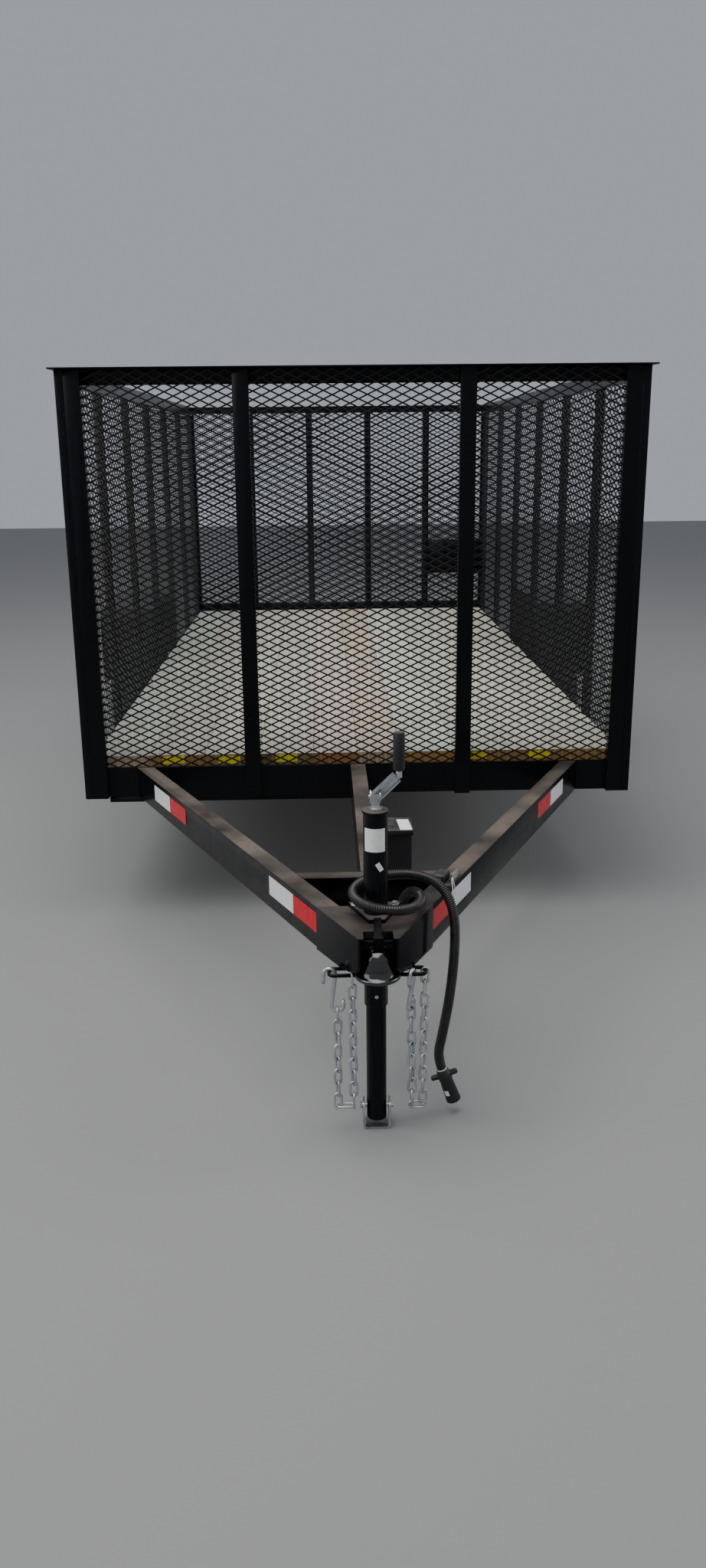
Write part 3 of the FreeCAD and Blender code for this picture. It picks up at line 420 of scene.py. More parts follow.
# Coupler dome: the pressed housing over the ball, polished by handling, with a rolled flange round
# its foot. The folded plate is notched back in front of it, between two upright webs, so that it
# stands out.
move = Matrix.Translation
across, lengthwise, upward = Vector((1, 0, 0)), Vector((0, 1, 0)), Vector((0, 0, 1))
hands = ((-1, "left"), (1, "right"))
ball_y = front_y - 1.403
frame_bottom = 0.4304
flange_top = 0.4404
plate_middle = 0.4855


def shape(add, name, **settings):
    """What an operator adds, named and with its place in its mesh."""
    bpy.ops.object.select_all(action="DESELECT")
    add(**settings)
    made = bpy.context.object
    made.name = name
    bpy.ops.object.transform_apply(location=True, rotation=True, scale=True)
    return made


def cylinder(name, sides, radius, depth, middle, turn=(0, 0, 0)):
    """A cylinder that stands upright unless it is turned."""
    return shape(bpy.ops.mesh.primitive_cylinder_add, name, vertices=sides, radius=radius,
                 depth=depth, location=middle, rotation=turn)


def block(name, size, middle):
    """A box of this size round its middle."""
    made = shape(bpy.ops.mesh.primitive_cube_add, name, size=1)
    for corner in made.data.vertices:
        corner.co = [corner.co[axis] * size[axis] + middle[axis] for axis in range(3)]
    return made


def turned(name, start, axis, profile, sides):
    """A round body about an axis, from pairs of a way along it and a radius."""
    return sleeve(name, [(start + axis * along, axis) for along, radius in profile],
                  [radius for along, radius in profile], sides)


for corner in coupler.data.vertices:
    outward = Vector((corner.co.x, corner.co.y - ball_y, 0))
    if corner.co.z < flange_top and 0.04 < outward.length < 0.053:
        corner.co -= outward.normalized() * 0.001
notch = block("notch", (0.079, 0.052, 0.0922), (0, ball_y - 0.03, plate_middle))
modify(coupler, "BOOLEAN", object=notch, operation="DIFFERENCE", solver="EXACT")
bpy.data.objects.remove(notch)
dome_line = [
    (0.03, 0.0265), (-0.0003, 0.0265), (-0.0003, 0.0488), (0.0007, 0.0506), (0.003, 0.0514),
    (0.0052, 0.0514), (0.0076, 0.0505), (0.009, 0.0485), (0.0105, 0.0455), (0.0135, 0.0425),
    (0.018, 0.04), (0.0235, 0.0383), (0.03, 0.0372), (0.037, 0.0369)]
dome_line += [(0.045 + 0.0275 * sin(radians(angle)),
               0.0369 * cos(radians(angle))) for angle in range(0, 89, 4)]
fit(turned("coupler_dome", Vector((0, ball_y, frame_bottom)), upward, dome_line, 96),
    polished_paint)
for side, hand in hands:
    fit(block("coupler_web_" + hand, (0.0235, 0.005, 0.0932),
              (side * 0.0447, ball_y - 0.0035, plate_middle)), latch_paint)

# Zinc plate: bright grey with a cool bluish cast, duller in clouds. The chains, their hooks, the
# jack's foot and crank, the wheel nuts, the dust caps and the bolts have it.
zinc_finish = Finish("zinc_plate", 0.6)
zinc = zinc_finish.weather(
    0.03, 5, 0.3, 0.7, (0.4, 0.44, 0.48), (0.6, 0.62, 0.62), (0.24, 0.44),
    metallic=(1.0, 0.86), height=zinc_finish.noise(0.0015, 2), depth=0.00012)
softened("jack_crank", zinc)

# Black moulded plastic: the battery box, the switch, the clip and the plug. The jack's grip is
# rubber with the same look.
plastic = Finish("black_plastic", 0.4)
grain = plastic.noise(0.0012, 2)
dust = plastic.band(plastic.facing("Z"), 0.6, 1.0) * plastic.band(plastic.noise(0.04), 0.35, 0.7)
black_plastic = plastic.paint(
    plastic.mix(dust * 0.5, (0.013, 0.013, 0.014), (0.17, 0.15, 0.12)),
    plastic.band(grain, 0.3, 0.7, 0.38, 0.55) + dust * 0.3, height=grain, depth=0.00015)
softened("battery_box", black_plastic, width=0.002)
softened("harness_clip", black_plastic, width=0.002)
softened("jack_grip", black_plastic, width=0.005)

# Harness plug: a moulded round body that widens a little towards its open end, with a white ring
# at its neck, two wings and a bare white label. It hangs on the end of the loom.
plug_radius = 0.018
plug_length = 0.088
plug_start = loom_points[-1]
plug_axis = (loom_points[-1] - loom_points[-2]).normalized()
fit(turned("plug_body", plug_start, plug_axis, [
    (-0.003, 0.0122), (0.001, 0.0128), (0.002, 0.015), (0.01, 0.0152), (0.011, 0.0166),
    (0.028, 0.0166), (0.03, 0.0158), (0.078, plug_radius - 0.0004), (0.08, plug_radius),
    (plug_length - 0.001, plug_radius), (plug_length, plug_radius - 0.001),
    (plug_length, plug_radius - 0.003), (plug_length - 0.012, plug_radius - 0.004)], 40),
    black_plastic, node="harness_plug")
lean = plug_axis.to_track_quat("Z", "Y").to_matrix().to_4x4()
lean = move(plug_start) @ lean @ Matrix.Rotation(-lean.to_euler().z, 4, "Z")
for side, hand in hands:
    wing = cylinder("plug_wing_" + hand, 24, 0.0075, 0.008, (side * 0.026, 0, 0.016))
    for corner in wing.data.vertices:
        if side * corner.co.x < 0.024:
            corner.co.x = side * 0.012
            corner.co.y *= 1.35
    modify(wing, "BEVEL", width=0.0012, segments=2)
    wing.data.transform(lean)
    wing.data.shade_smooth()
    fit(wing, black_plastic)
white_label = Finish("white_label", 0.45).weather(
    0.012, 4, 0.45, 0.8, (0.86, 0.86, 0.84), (0.52, 0.49, 0.44), (0.35, 0.6), 0.3)
fit(turned("plug_neck_ring", plug_start, plug_axis, [
    (-0.0032, 0.0112), (-0.0026, 0.0131), (-0.001, 0.0131), (-0.0004, 0.0112)], 32),
    white_label)


def wrapped_patch(name, place, radius, outline, steps=10):
    """A bare white sticker on a round body: outline corners are (degrees round, height) pairs."""
    vertices = []
    first, second, third, fourth = [Vector(corner) for corner in outline]
    for row in range(steps + 1):
        for column in range(steps + 1):
            along = column / steps
            spot = first.lerp(second, along).lerp(fourth.lerp(third, along), row / steps)
            angle = radians(spot.x)
            vertices.append((radius * sin(angle), -radius * cos(angle), spot.y))
    starts = [row * (steps + 1) + column for row in range(steps) for column in range(steps)]
    sticker = new_piece(name, vertices, [(a, a + 1, a + steps + 2, a + steps + 1) for a in starts])
    modify(sticker, "SOLIDIFY", thickness=0.0003, offset=-1)
    sticker.data.transform(place)
    fit(sticker, white_label)


wrapped_patch("plug_label", lean, plug_radius - 0.0003,
              [(14, 0.052), (52, 0.052), (52, 0.066), (14, 0.066)])

# Jack stickers: a large bare white one on the tube under the crank, a small tilted one lower down.
jack_middle = Vector((0, front_y - 1.308, 0))
jack_tube_radius = 0.0275
jack_place = move(jack_middle)
wrapped_patch("jack_sticker_large", jack_place, jack_tube_radius + 0.0003,
              [(-61, 0.697), (46, 0.697), (46, 0.751), (-61, 0.751)], steps=20)
wrapped_patch("jack_sticker_small", jack_place, jack_tube_radius + 0.0003,
              [(17, 0.6505), (38, 0.655), (15, 0.6735), (-5, 0.668)])

# Safety chains: proof-coil links of round zinc-plated wire, one link shaped and copied. The right
# one hangs from its loop's outer bar, the left one from its front bar, and each comes back up to a
# bent hook over another bar of its loop.
chain_wire = 0.006
link_inner = 0.0315
link_width = 0.0106
link_pitch = 0.0309
links_down = 11
links_up = 8
loop_x = 0.108
loop_y = front_y - 1.368
loop_half = 0.018
loop_bar = 0.0045
loop_z = frame_bottom - loop_bar
link = shape(bpy.ops.mesh.primitive_torus_add, "link", minor_radius=chain_wire / 2,
             major_radius=link_width / 2 + chain_wire / 2, major_segments=20, minor_segments=10)
for corner in link.data.vertices:
    if abs(corner.co.x) > 0.00001:
        corner.co.x += copysign((link_inner - link_width) / 2, corner.co.x)
link.data.shade_smooth()


def place_link(centre, along, sideways):
    """A copy of the link at a centre, lengthwise along one direction, flat across another."""
    along = along.normalized()
    normal = along.cross(sideways).normalized()
    axes = Matrix((along, normal.cross(along), normal)).transposed().to_4x4()
    return copied(link, move(centre) @ axes)


def hang(start, along, count, planes, twist):
    """Links in line from the first one's inner end, each a quarter turn on, twisted halfway."""
    along = along.normalized()
    made = []
    for number in range(count):
        turned_by = Matrix.Rotation(
            radians(twist) * sin(pi * number / (count - 1)), 3, along)
        made.append(place_link(start + along * (link_inner / 2 + number * link_pitch), along,
                               turned_by @ planes[number % 2]))
    return made, start + along * (link_inner + (count - 1) * link_pitch)


def join(name, pieces):
    """Pieces made one and named."""
    select_only(*pieces)
    bpy.ops.object.join()
    pieces[0].name = name
    return pieces[0]


def folded(name, start, down, back_up, planes, twists, width, depth, flat):
    """A chain that hangs in a fold: a strand, a link across its end, and a strand back up."""
    links, low = hang(start, down, links_down, planes, twists[0])
    links.append(place_link(low - Vector((width / 2, 0, depth)), across, flat))
    more, high = hang(low - Vector((width, 0, 0)), back_up, links_up, planes[::-1], twists[1])
    return join(name, links + more), high


top_z = loop_z + loop_bar + 0.0003
drop = links_down * link_pitch
right_chain, right_high = folded(
    "right_chain", Vector((loop_x, loop_y, top_z)), Vector((-0.004, 0, -drop)),
    Vector((-0.004, 0, drop)), (across, lengthwise), (40, -34),
    link_inner - chain_wire - 0.001, chain_wire / 2, upward)
left_x = 0.057
wide_fold = link_inner + chain_wire - 0.0006
shift = (loop_half - loop_x + wide_fold + left_x) / 2
left_chain, left_high = folded(
    "left_chain", Vector((-left_x, loop_y - loop_half, top_z)),
    Vector((shift, loop_half / 2, -drop)), Vector((shift * 0.8, loop_half * 0.4, drop * 0.8)),
    (lengthwise, across), (-40, 36), wide_fold, -0.0033, lengthwise)
bpy.data.objects.remove(link)
fit(left_chain, zinc, node="chain_left")
fit(right_chain, zinc, node="chain_right")


def headed(line, closed=False):
    """The points of a line, each with the direction to the next one."""
    headings = [(b - a).normalized() for a, b in zip(line, line[1:])]
    return list(zip(line, [*headings, headings[0 if closed else -1]]))


def bent_hook(name, over, under, across, node=None):
    """A tapered wire hook over one bar and under a link."""
    size = 0.0135
    over = over - upward * 0.0036
    under = under + upward * 0.0078
    line = [over - across * size - upward * 0.022, over - across * size - upward * 0.01]
    for middle, sign in ((over, 1), (under, -1)):
        for step in range(13):
            turn = pi * (1 - step / 12)
            line.append(middle + across * (size * cos(turn))
                        + upward * (sign * size * sin(turn)))
    line.append(under + across * size + upward * 0.013)
    radii = [0.0032] + [0.005] * (len(line) - 2) + [0.0034]
    fit(sleeve(name, headed(line), radii), zinc, node=node)


bent_hook("right_chain_hook", Vector((right_high.x, loop_y - loop_half, loop_z)), right_high,
          (lengthwise + across * 0.55).normalized(), "chain_hooks")
bent_hook("left_chain_hook", Vector((-loop_x, left_high.y, loop_z)), left_high, across)

# Loops for the chains: a black round bar on each side, bent twice and welded under the coupler.
loop_end = 0.034
loop_bend = 0.011
for side, hand in hands:
    line = [(loop_end, -loop_half)]
    for middle_y, start in ((-loop_half + loop_bend, -90), (loop_half - loop_bend, 0)):
        for step in range(7):
            turn = radians(start + 15 * step)
            line.append((loop_x - loop_bend + loop_bend * cos(turn),
                         middle_y + loop_bend * sin(turn)))
    line.append((loop_end, loop_half))
    line = [Vector((side * x, loop_y + y, loop_z)) for x, y in line]
    fit(sleeve("chain_loop_" + hand, headed(line), [loop_bar], 16), frame_paint,
        node="chain_loops")

# Fasteners: hex-headed zinc bolts with washers, two through the jack's plate, one through the
# breakaway switch's plate, and a small head low on the jack's tube. One bolt is shaped and copied.
washer = cylinder("washer", 24, 1.15, 0.22, (0, 0, 0.11))
head = cylinder("head", 6, 0.9, 0.62, (0, 0, 0.53))
modify(washer, "BEVEL", width=0.05, segments=2)
modify(head, "BEVEL", width=0.08, segments=2)
hex_bolt = join("hex_bolt", [head, washer])


def place_bolt(spot, axis, size, turn=0.0, tall=1.0):
    """A copy of the bolt head standing on a spot, so many metres in radius."""
    stand = Vector(axis).to_track_quat("Z", "Y").to_matrix().to_4x4()
    return copied(hex_bolt, move(spot) @ stand @ Matrix.Rotation(turn, 4, "Z")
                  @ Matrix.Diagonal((size, size, size * tall, 1)))


jack_plate_top = 0.547
jack_bolts = [
    place_bolt((x, jack_middle.y + 0.04, jack_plate_top), (0, 0, 1), 0.0085, turn)
    for x, turn in ((0.046, 0.3), (-0.046, 0.9))]
jack_bolts.append(place_bolt((0, jack_middle.y - jack_tube_radius + 0.0005, 0.346), (0, -1, 0),
                             0.0038, 0.2, 0.6))
fit(join("jack_plate_bolts", jack_bolts), zinc)

# Jack foot: a zinc strap folded up both sides of the leg, its upper corners rounded, with a bolt
# through both and the leg's end.
strap_deep = 0.046
strap_half = 0.0328
strap_thickness = 0.0045
pin_z = 0.052


def walled(line, thickness):
    """A line of points in a plane given a back, so much to its left."""
    back = []
    for before, spot, after in zip([line[0], *line], line, [*line[1:], line[-1]]):
        run = (Vector(after) - Vector(before)).normalized()
        back.append((spot[0] - run.y * thickness, spot[1] + run.x * thickness))
    return list(line) + back[::-1]


def pick(piece, kind, chosen):
    """Enter edit mode with only the chosen edges or faces selected."""
    mode("EDIT")
    bpy.ops.mesh.select_mode(type=kind)
    bpy.ops.mesh.select_all(action="DESELECT")
    mode("OBJECT")
    for element in (piece.data.polygons if kind == "FACE" else piece.data.edges):
        element.select = chosen(element)
    mode("EDIT")


strap_outline = walled([
    (-strap_half, 0.067), (-strap_half, 0.01), (-0.0304, 0.0035), (-0.023, 0.0),
    (0.023, 0.0), (0.0304, 0.0035), (strap_half, 0.01), (strap_half, 0.067)], strap_thickness)
strap = shape(bpy.ops.mesh.primitive_circle_add, "jack_foot_strap",
              vertices=len(strap_outline), radius=1, fill_type="NGON")
for corner, (x, z) in zip(strap.data.vertices, strap_outline):
    corner.co = (x, 0, z)
modify(strap, "SOLIDIFY", thickness=strap_deep, offset=0)


def on_top_corner(edge):
    """Whether an edge of the strap runs along one of its upper corners."""
    ends = [strap.data.vertices[number].co for number in edge.vertices]
    return all(end.z > 0.066 for end in ends) and abs(ends[0].y - ends[1].y) < 0.001


pick(strap, "EDGE", on_top_corner)
bpy.ops.mesh.bevel(offset=0.013, segments=6)
bpy.ops.mesh.select_all(action="SELECT")
bpy.ops.mesh.normals_make_consistent(inside=False)
bpy.ops.mesh.select_mode(type="VERT")
mode("OBJECT")
modify(strap, "BEVEL", width=0.0008, segments=2, limit_method="ANGLE",
       angle_limit=radians(40))
smooth_by(35)
strap.data.transform(move((0, jack_middle.y, 0.0001)))
pin = cylinder("pin", 24, 0.005, 0.078, (0, jack_middle.y, pin_z), (0, pi / 2, 0))
heads = [place_bolt((side * strap_half, jack_middle.y, pin_z), (side, 0, 0), 0.0078, 0.4)
         for side in (-1, 1)]
fit(join("jack_foot_visible", [strap, pin, *heads]), zinc, "jack_foot_and_leg",
    "jack_foot")

# Reflective tape: a red and a white piece end to end, twice on each tongue rail's outer face.
rail_slope = 0.478
rail_half_spread = 0.728
rail_middle_z = 0.492
rail_length_scale = sqrt(1 + rail_slope ** 2)
film = 0.0004


def flat_patch(name, middle, along, upward_edge, width, height, material):
    """A thin flat piece with its middle on a face, its width along one direction."""
    along = Vector(along).normalized()
    upward_edge = Vector(upward_edge).normalized()
    patch = block(name, (width, height, film), (0, 0, film / 2))
    modify(patch, "BEVEL", width=0.0015, segments=2, affect="EDGES", limit_method="ANGLE")
    axes = Matrix((along, upward_edge, along.cross(upward_edge))).transposed().to_4x4()
    patch.data.transform(move(middle) @ axes)
    fit(patch, material)


reflect = {}
for name, light, dark in (("tape_red", (0.6, 0.014, 0.026), (0.4, 0.02, 0.026)),
                          ("tape_white", (0.78, 0.79, 0.82), (0.58, 0.58, 0.6))):
    finish = Finish(name, 0.14)
    cells = finish.node("TexVoronoi", {"feature": "DISTANCE_TO_EDGE"},
                        {"Vector": finish.place(), "Scale": 260.0})
    reflect[name] = finish.weather(0.03, 4, 0.45, 0.8, light, dark, (0.2, 0.45), 0.5,
                                   height=cells, depth=0.0002)
for side, hand in hands:
    along = Vector((side * rail_slope, 1, 0)).normalized()
    outward = Vector((side, -rail_slope, 0)).normalized()
    for low, middle, high in ((0.14, 0.2775, 0.412), (0.987, 1.121, 1.254)):
        for name, start, end in (("tape_white", low, middle), ("tape_red", middle, high)):
            ahead_by = (start + end) / 2
            spot = Vector((side * (rail_half_spread - rail_slope * ahead_by),
                           front_y - ahead_by, rail_middle_z))
            flat_patch(f"{name}_{hand}_{int(low * 100)}", spot + outward * 0.0002, along,
                       upward * side, (end - start) * rail_length_scale - 0.001, 0.0505,
                       reflect[name])

# Board tags: bare yellow tags stapled to the front ends of five planks, a little askew.
yellow_tag = Finish("yellow_tag", 0.4).weather(
    0.02, 4, 0.45, 0.75, (0.8, 0.68, 0.035), (0.55, 0.44, 0.05), (0.4, 0.6), 0.5)
(deck_left, deck_front, _), (deck_right, deck_back, deck_top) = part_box("deck_boards")
for number, (x, z, tilt) in enumerate((
        (-0.6175, 0.5535, 0.03), (-0.432, 0.5515, -0.03), (-0.24, 0.5545, 0.02),
        (0.4, 0.553, -0.02), (0.615, 0.553, 0.03))):
    flat_patch(f"plank_tag_{number + 1}", (x, deck_front, z), (cos(tilt), 0, sin(tilt)),
               (-sin(tilt), 0, cos(tilt)), 0.073, 0.026, yellow_tag)


# Battery box label: a bare pale sticker on the right of the lid.
def corners(node):
    """The low and the high corner of a CAD node's box."""
    return [Vector(corner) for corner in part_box(node)]


lid_low, lid_high = corners("battery_box")
flat_patch("battery_box_label",
           (lid_high.x - 0.02, (lid_low.y + lid_high.y) / 2 - 0.006, lid_high.z), (1, 0, 0),
           (-0.06, 1, 0), 0.03, (lid_high.y - lid_low.y) * 0.78, white_label)

# Breakaway switch: a black moulded body on a plate over the right rail, held by a zinc bolt, with
# a bent zinc stop beside it and a wire pull ring at its front end.
switch_low, switch_high = corners("breakaway_switch")
switch_middle = (switch_low + switch_high) / 2
switch_place = (move((switch_middle.x, switch_middle.y, switch_low.z))
                @ Matrix.Rotation(-atan(rail_slope), 4, "Z"))
for name, size, middle, material, slot, node in (
        ("switch_plate", (0.052, 0.084, 0.005), (0, 0, 0.0025),
         black_plastic, "black_plastic", None),
        ("switch_body", (0.03, 0.052, 0.021), (-0.006, -0.012, 0.0155),
         black_plastic, "black_plastic", "breakaway_switch"),
        ("switch_stop", (0.003, 0.04, 0.022), (0.022, 0.004, 0.016), zinc, "galvanised", None),
        ("switch_nose", (0.018, 0.012, 0.014), (-0.006, -0.043, 0.012),
         black_plastic, "black_plastic", None)):
    part = block(name, size, middle)
    modify(part, "BEVEL", width=min(size) * 0.3, segments=3)
    part.data.transform(switch_place)
    part.data.shade_smooth()
    fit(part, material, node=node)
switch_bolt = place_bolt(switch_place @ Vector((-0.004, 0.03, 0.005)), (0, 0, 1), 0.007)
switch_bolt.name = "switch_bolt"
fit(switch_bolt, zinc)
ring_line = []
for step in range(25):
    turn = 2 * pi * step / 24
    sideways_by = 0.0085 * sin(turn) * (0.55 + 0.45 * sin(turn / 2))
    ring_line.append(switch_place @ Vector((0.032 - 0.004 * cos(turn), -0.03 + sideways_by,
                                            -0.004 + 0.026 * cos(turn))))
fit(sleeve("switch_pull_ring", headed(ring_line, closed=True), [0.0012], 8), white_label)

# Deck planks: ten treated boards laid side by side, weathered to tan, pink and green-grey. Grain
# runs lengthwise and every board has its own tone. The sawn ends show growth rings in orange and
# yellow-brown, paler on the first and sixth board.
plank_seams = [-0.701, -0.517, -0.333, -0.149, 0.0, 0.149, 0.333, 0.517, 0.701]
plank_tones = [
    (0.58, 0.62, 0.53), (0.54, 0.53, 0.45), (0.62, 0.6, 0.51), (0.6, 0.59, 0.49),
    (0.72, 0.6, 0.51), (0.66, 0.53, 0.41), (0.67, 0.68, 0.58), (0.58, 0.58, 0.5),
    (0.6, 0.58, 0.47), (0.56, 0.56, 0.46)]
end_tones = [
    (0.5, 0.38, 0.27), (0.34, 0.21, 0.075), (0.3, 0.19, 0.07), (0.26, 0.18, 0.07),
    (0.42, 0.19, 0.075), (0.52, 0.4, 0.26), (0.46, 0.25, 0.06), (0.38, 0.22, 0.07),
    (0.35, 0.2, 0.07), (0.44, 0.25, 0.075)]
wood = Finish("weathered_planks", 0.3)
spot = wood.node("TexCoord", output="Object")
sideways = wood.node("SeparateXYZ", sockets={0: spot}, output="X")
board = sideways > plank_seams[0]
for seam in plank_seams[1:]:
    board = board + (sideways > seam)


def by_board(tones):
    """The tone of the board that a point is on."""
    stops = [((number - 0.5) / 10 if number else 0.0, tone) for number, tone in enumerate(tones)]
    return wood.node("ValToRGB", {"stops": stops, "blend": "CONSTANT"}, {0: board / 10})


def combined(operation, first, second):
    """Two vectors combined by a vector operation."""
    return wood.node("VectorMath", {"operation": operation}, {0: first, 1: second})


moved = combined("ADD", spot, wood.node(
    "CombineXYZ", sockets={"X": board * 7.3, "Y": board * 3.1, "Z": 0.0}))
stretched = combined("MULTIPLY", moved, (1.0, 0.045, 1.0))
rings = wood.node("TexNoise", sockets={
    "Vector": stretched, "Scale": 38.0, "Detail": 4.0, "Distortion": 0.6})
streak = wood.node("TexNoise", sockets={"Vector": stretched, "Scale": 260.0, "Detail": 3.0})
weather = wood.node("TexNoise", sockets={"Vector": moved, "Scale": 3.2, "Detail": 5.0})
grain = wood.band(rings, 0.36, 0.64)
fibre = wood.band(streak, 0.35, 0.7)
aged = wood.mix(wood.band(weather, 0.42, 0.7) * 0.4, by_board(plank_tones), (0.45, 0.44, 0.4))
dark = wood.mix(grain * 0.26, aged, (0.27, 0.21, 0.14))
face = wood.mix(fibre * 0.16, dark, (0.16, 0.13, 0.09))
sawn = wood.node("Math", {"operation": "ABSOLUTE"}, {0: wood.facing("Y")}) > 0.7
ring_wave = wood.node("TexWave", {"wave_type": "RINGS", "rings_direction": "SPHERICAL"}, {
    "Vector": combined("MULTIPLY", moved, (1.0, 0.0, 2.2)), "Scale": 22.0, "Distortion": 3.0,
    "Detail": 2.0})
end_grain = wood.mix(ring_wave * 0.45, by_board(end_tones), (0.17, 0.1, 0.045))
coat(nodes["deck_boards"], wood.paint(
    wood.mix(sawn, face, end_grain), wood.band(fibre, 0, 1, 0.62, 0.85),
    height=grain * 0.4 + fibre * 0.6, depth=0.0011))

# Deck screws: two dark countersunk heads through every board at each crossmember and at both ends.
screw_inset = 0.032
plank_edges = [deck_left, *plank_seams, deck_right]
wall_bay = (deck_back - front_y) / 6
screw_rows = [deck_front + 0.02, deck_back - 0.022]
screw_rows += [front_y + wall_bay * bay + 0.03 for bay in range(1, 6)]
screw_finish = Finish("dark_screw", 0.4, Roughness=0.5)
screw = shape(bpy.ops.mesh.primitive_cone_add, "screw", vertices=10, radius1=0.0042,
              radius2=0.0034, depth=0.0008)
random.seed(11)
screws = [copied(screw, move((x + random.uniform(-0.004, 0.004),
                                            row + random.uniform(-0.005, 0.005),
                                            deck_top + 0.0003)))
          for left_edge, right_edge in zip(plank_edges, plank_edges[1:])
          for row in screw_rows
          for x in (left_edge + screw_inset, right_edge - screw_inset)]
bpy.data.objects.remove(screw)
fit(join("deck_screws", screws), screw_finish.paint(
    screw_finish.mix(screw_finish.noise(0.02), (0.05, 0.045, 0.04), (0.14, 0.09, 0.06))))

# Tyres: radial trailer tyres. A cross-section with five ribs and rings on its walls is spun round
# the axle, then slots are sunk across the shoulders and narrow sipes into the ribs between.
tyre_low, tyre_high = corners("tyre_right")
wheel_centre = (tyre_low + tyre_high) / 2
tyre_steps = 420


def spun(name, profile, steps, smooth=35):
    """A closed cross-section of (outward, radius) pairs spun about the axle."""
    made = shape(bpy.ops.mesh.primitive_circle_add, name, vertices=len(profile), radius=1)
    for corner, (outward_by, radius) in zip(made.data.vertices, profile):
        corner.co = (outward_by, 0, radius)
    mode("EDIT", "SELECT")
    bpy.ops.mesh.spin(steps=steps, angle=2 * pi, center=(0, 0, 0), axis=(1, 0, 0))
    bpy.ops.mesh.select_all(action="SELECT")
    bpy.ops.mesh.remove_doubles(threshold=0.00001)
    bpy.ops.mesh.delete_loose()
    bpy.ops.mesh.select_all(action="SELECT")
    bpy.ops.mesh.normals_make_consistent(inside=False)
    mode("OBJECT")
    smooth_by(smooth)
    return made


def sink(every, first, near, far, least_radius, margin, depth):
    """Recess every so manyth face round the tread, between two distances from its middle."""
    def wanted(face):
        x, y, z = face.center
        step = int(atan2(y, z) % (2 * pi) / (2 * pi) * tyre_steps)
        return (step % every == first and near <= abs(x) < far
                and hypot(y, z) > least_radius)

    pick(tyre, "FACE", wanted)
    bpy.ops.mesh.inset(thickness=margin, depth=-depth)
    bpy.ops.mesh.select_all(action="DESELECT")
    bpy.ops.mesh.select_mode(type="VERT")
    mode("OBJECT")


def fit_wheels(name, piece, material, replaces=False):
    """The right wheel's piece put on its axle end, and a copy turned round for the left."""
    for made, side, hand, turn in ((piece, 1, "right", 0), (copied(piece), -1, "left", pi)):
        centre = Vector((wheel_centre.x * side, wheel_centre.y, wheel_centre.z))
        made.data.transform(move(centre) @ Matrix.Rotation(turn, 4, "Z"))
        made.name = f"{name}_{hand}_visible"
        fit(made, material, "wheel_" + hand, f"{name}_{hand}" if replaces else None)


half_section = [
    (0.012, 0.345), (0.013, 0.3375), (0.019, 0.3375), (0.02, 0.3449), (0.044, 0.3444),
    (0.045, 0.3372), (0.051, 0.3368), (0.052, 0.344), (0.068, 0.3425), (0.082, 0.3398),
    (0.088, 0.335), (0.0935, 0.327), (0.0965, 0.317), (0.099, 0.306), (0.1002, 0.305),
    (0.1008, 0.3), (0.1002, 0.296), (0.102, 0.287), (0.1025, 0.276), (0.1018, 0.265),
    (0.1003, 0.254), (0.0985, 0.245), (0.0992, 0.244), (0.0986, 0.24), (0.0968, 0.239),
    (0.0945, 0.23), (0.0912, 0.221), (0.0922, 0.2195), (0.0915, 0.216), (0.089, 0.214),
    (0.085, 0.208), (0.0815, 0.2045), (0.079, 0.199), (0.0762, 0.1962)]
tyre = spun("tyre", [(-a, r) for a, r in reversed(half_section)] + half_section, tyre_steps, 30)
sink(6, 0, 0.052, 0.093, 0.33, 0.0003, 0.006)
sink(6, 3, 0.02, 0.044, 0.34, 0.0015, 0.005)
sink(12, 0, 0.0, 0.01, 0.34, 0.0015, 0.005)
rubber = Finish("tyre_rubber", 0.25)
fit_wheels("tyre", tyre, rubber.weather(
    0.06, 6, 0.35, 0.75, (0.016, 0.016, 0.017), (0.075, 0.066, 0.056), (0.58, 0.85), 0.45,
    height=rubber.noise(0.002), depth=0.0002), replaces=True)

# Rims: a rolled rim with a dropped centre and a pressed disc with eight round hand holes, in
# silver paint, six zinc nuts holding it to the hub, and a dust cap over the hub's end.
hole_ring = 0.118
nut_ring = 0.07
outer_half = [
    (0.0815, 0.205), (0.08, 0.204), (0.0785, 0.2), (0.0775, 0.195), (0.0745, 0.19),
    (0.06, 0.188), (0.056, 0.186), (0.043, 0.168), (0.038, 0.1655)]
inner_half = [(-0.02 - 0.5 * (a - 0.038) * 2, r) if a < 0.05 else (-a, r)
              for a, r in reversed(outer_half)]
barrel = spun("rim_barrel", walled(outer_half + inner_half, -0.003), 120)
disc = spun("rim_disc", walled([
    (0.033, 0.164), (0.0285, 0.161), (0.025, 0.154), (0.023, 0.146), (0.024, 0.14),
    (0.029, 0.133), (0.033, 0.127), (0.0345, 0.118), (0.033, 0.109), (0.028, 0.099),
    (0.025, 0.093), (0.024, 0.086), (0.024, 0.06), (0.0252, 0.056), (0.026, 0.0525)],
    -0.005), 120)
drills = []
for hole in range(8):
    turn = radians(hole * 45 + 22.5)
    drills.append(cylinder(
        "hand_hole", 32, 0.0155, 0.06,
        (0.03, hole_ring * cos(turn), hole_ring * sin(turn)), (0, pi / 2, 0)))
drill = join("hand_holes", drills)
modify(disc, "BOOLEAN", object=drill, solver="EXACT")
modify(disc, "BEVEL", width=0.0008, segments=2, limit_method="ANGLE",
       angle_limit=radians(50))
smooth_by(35)
bpy.data.objects.remove(drill)
silver = Finish("silver_rim_paint", 0.5)
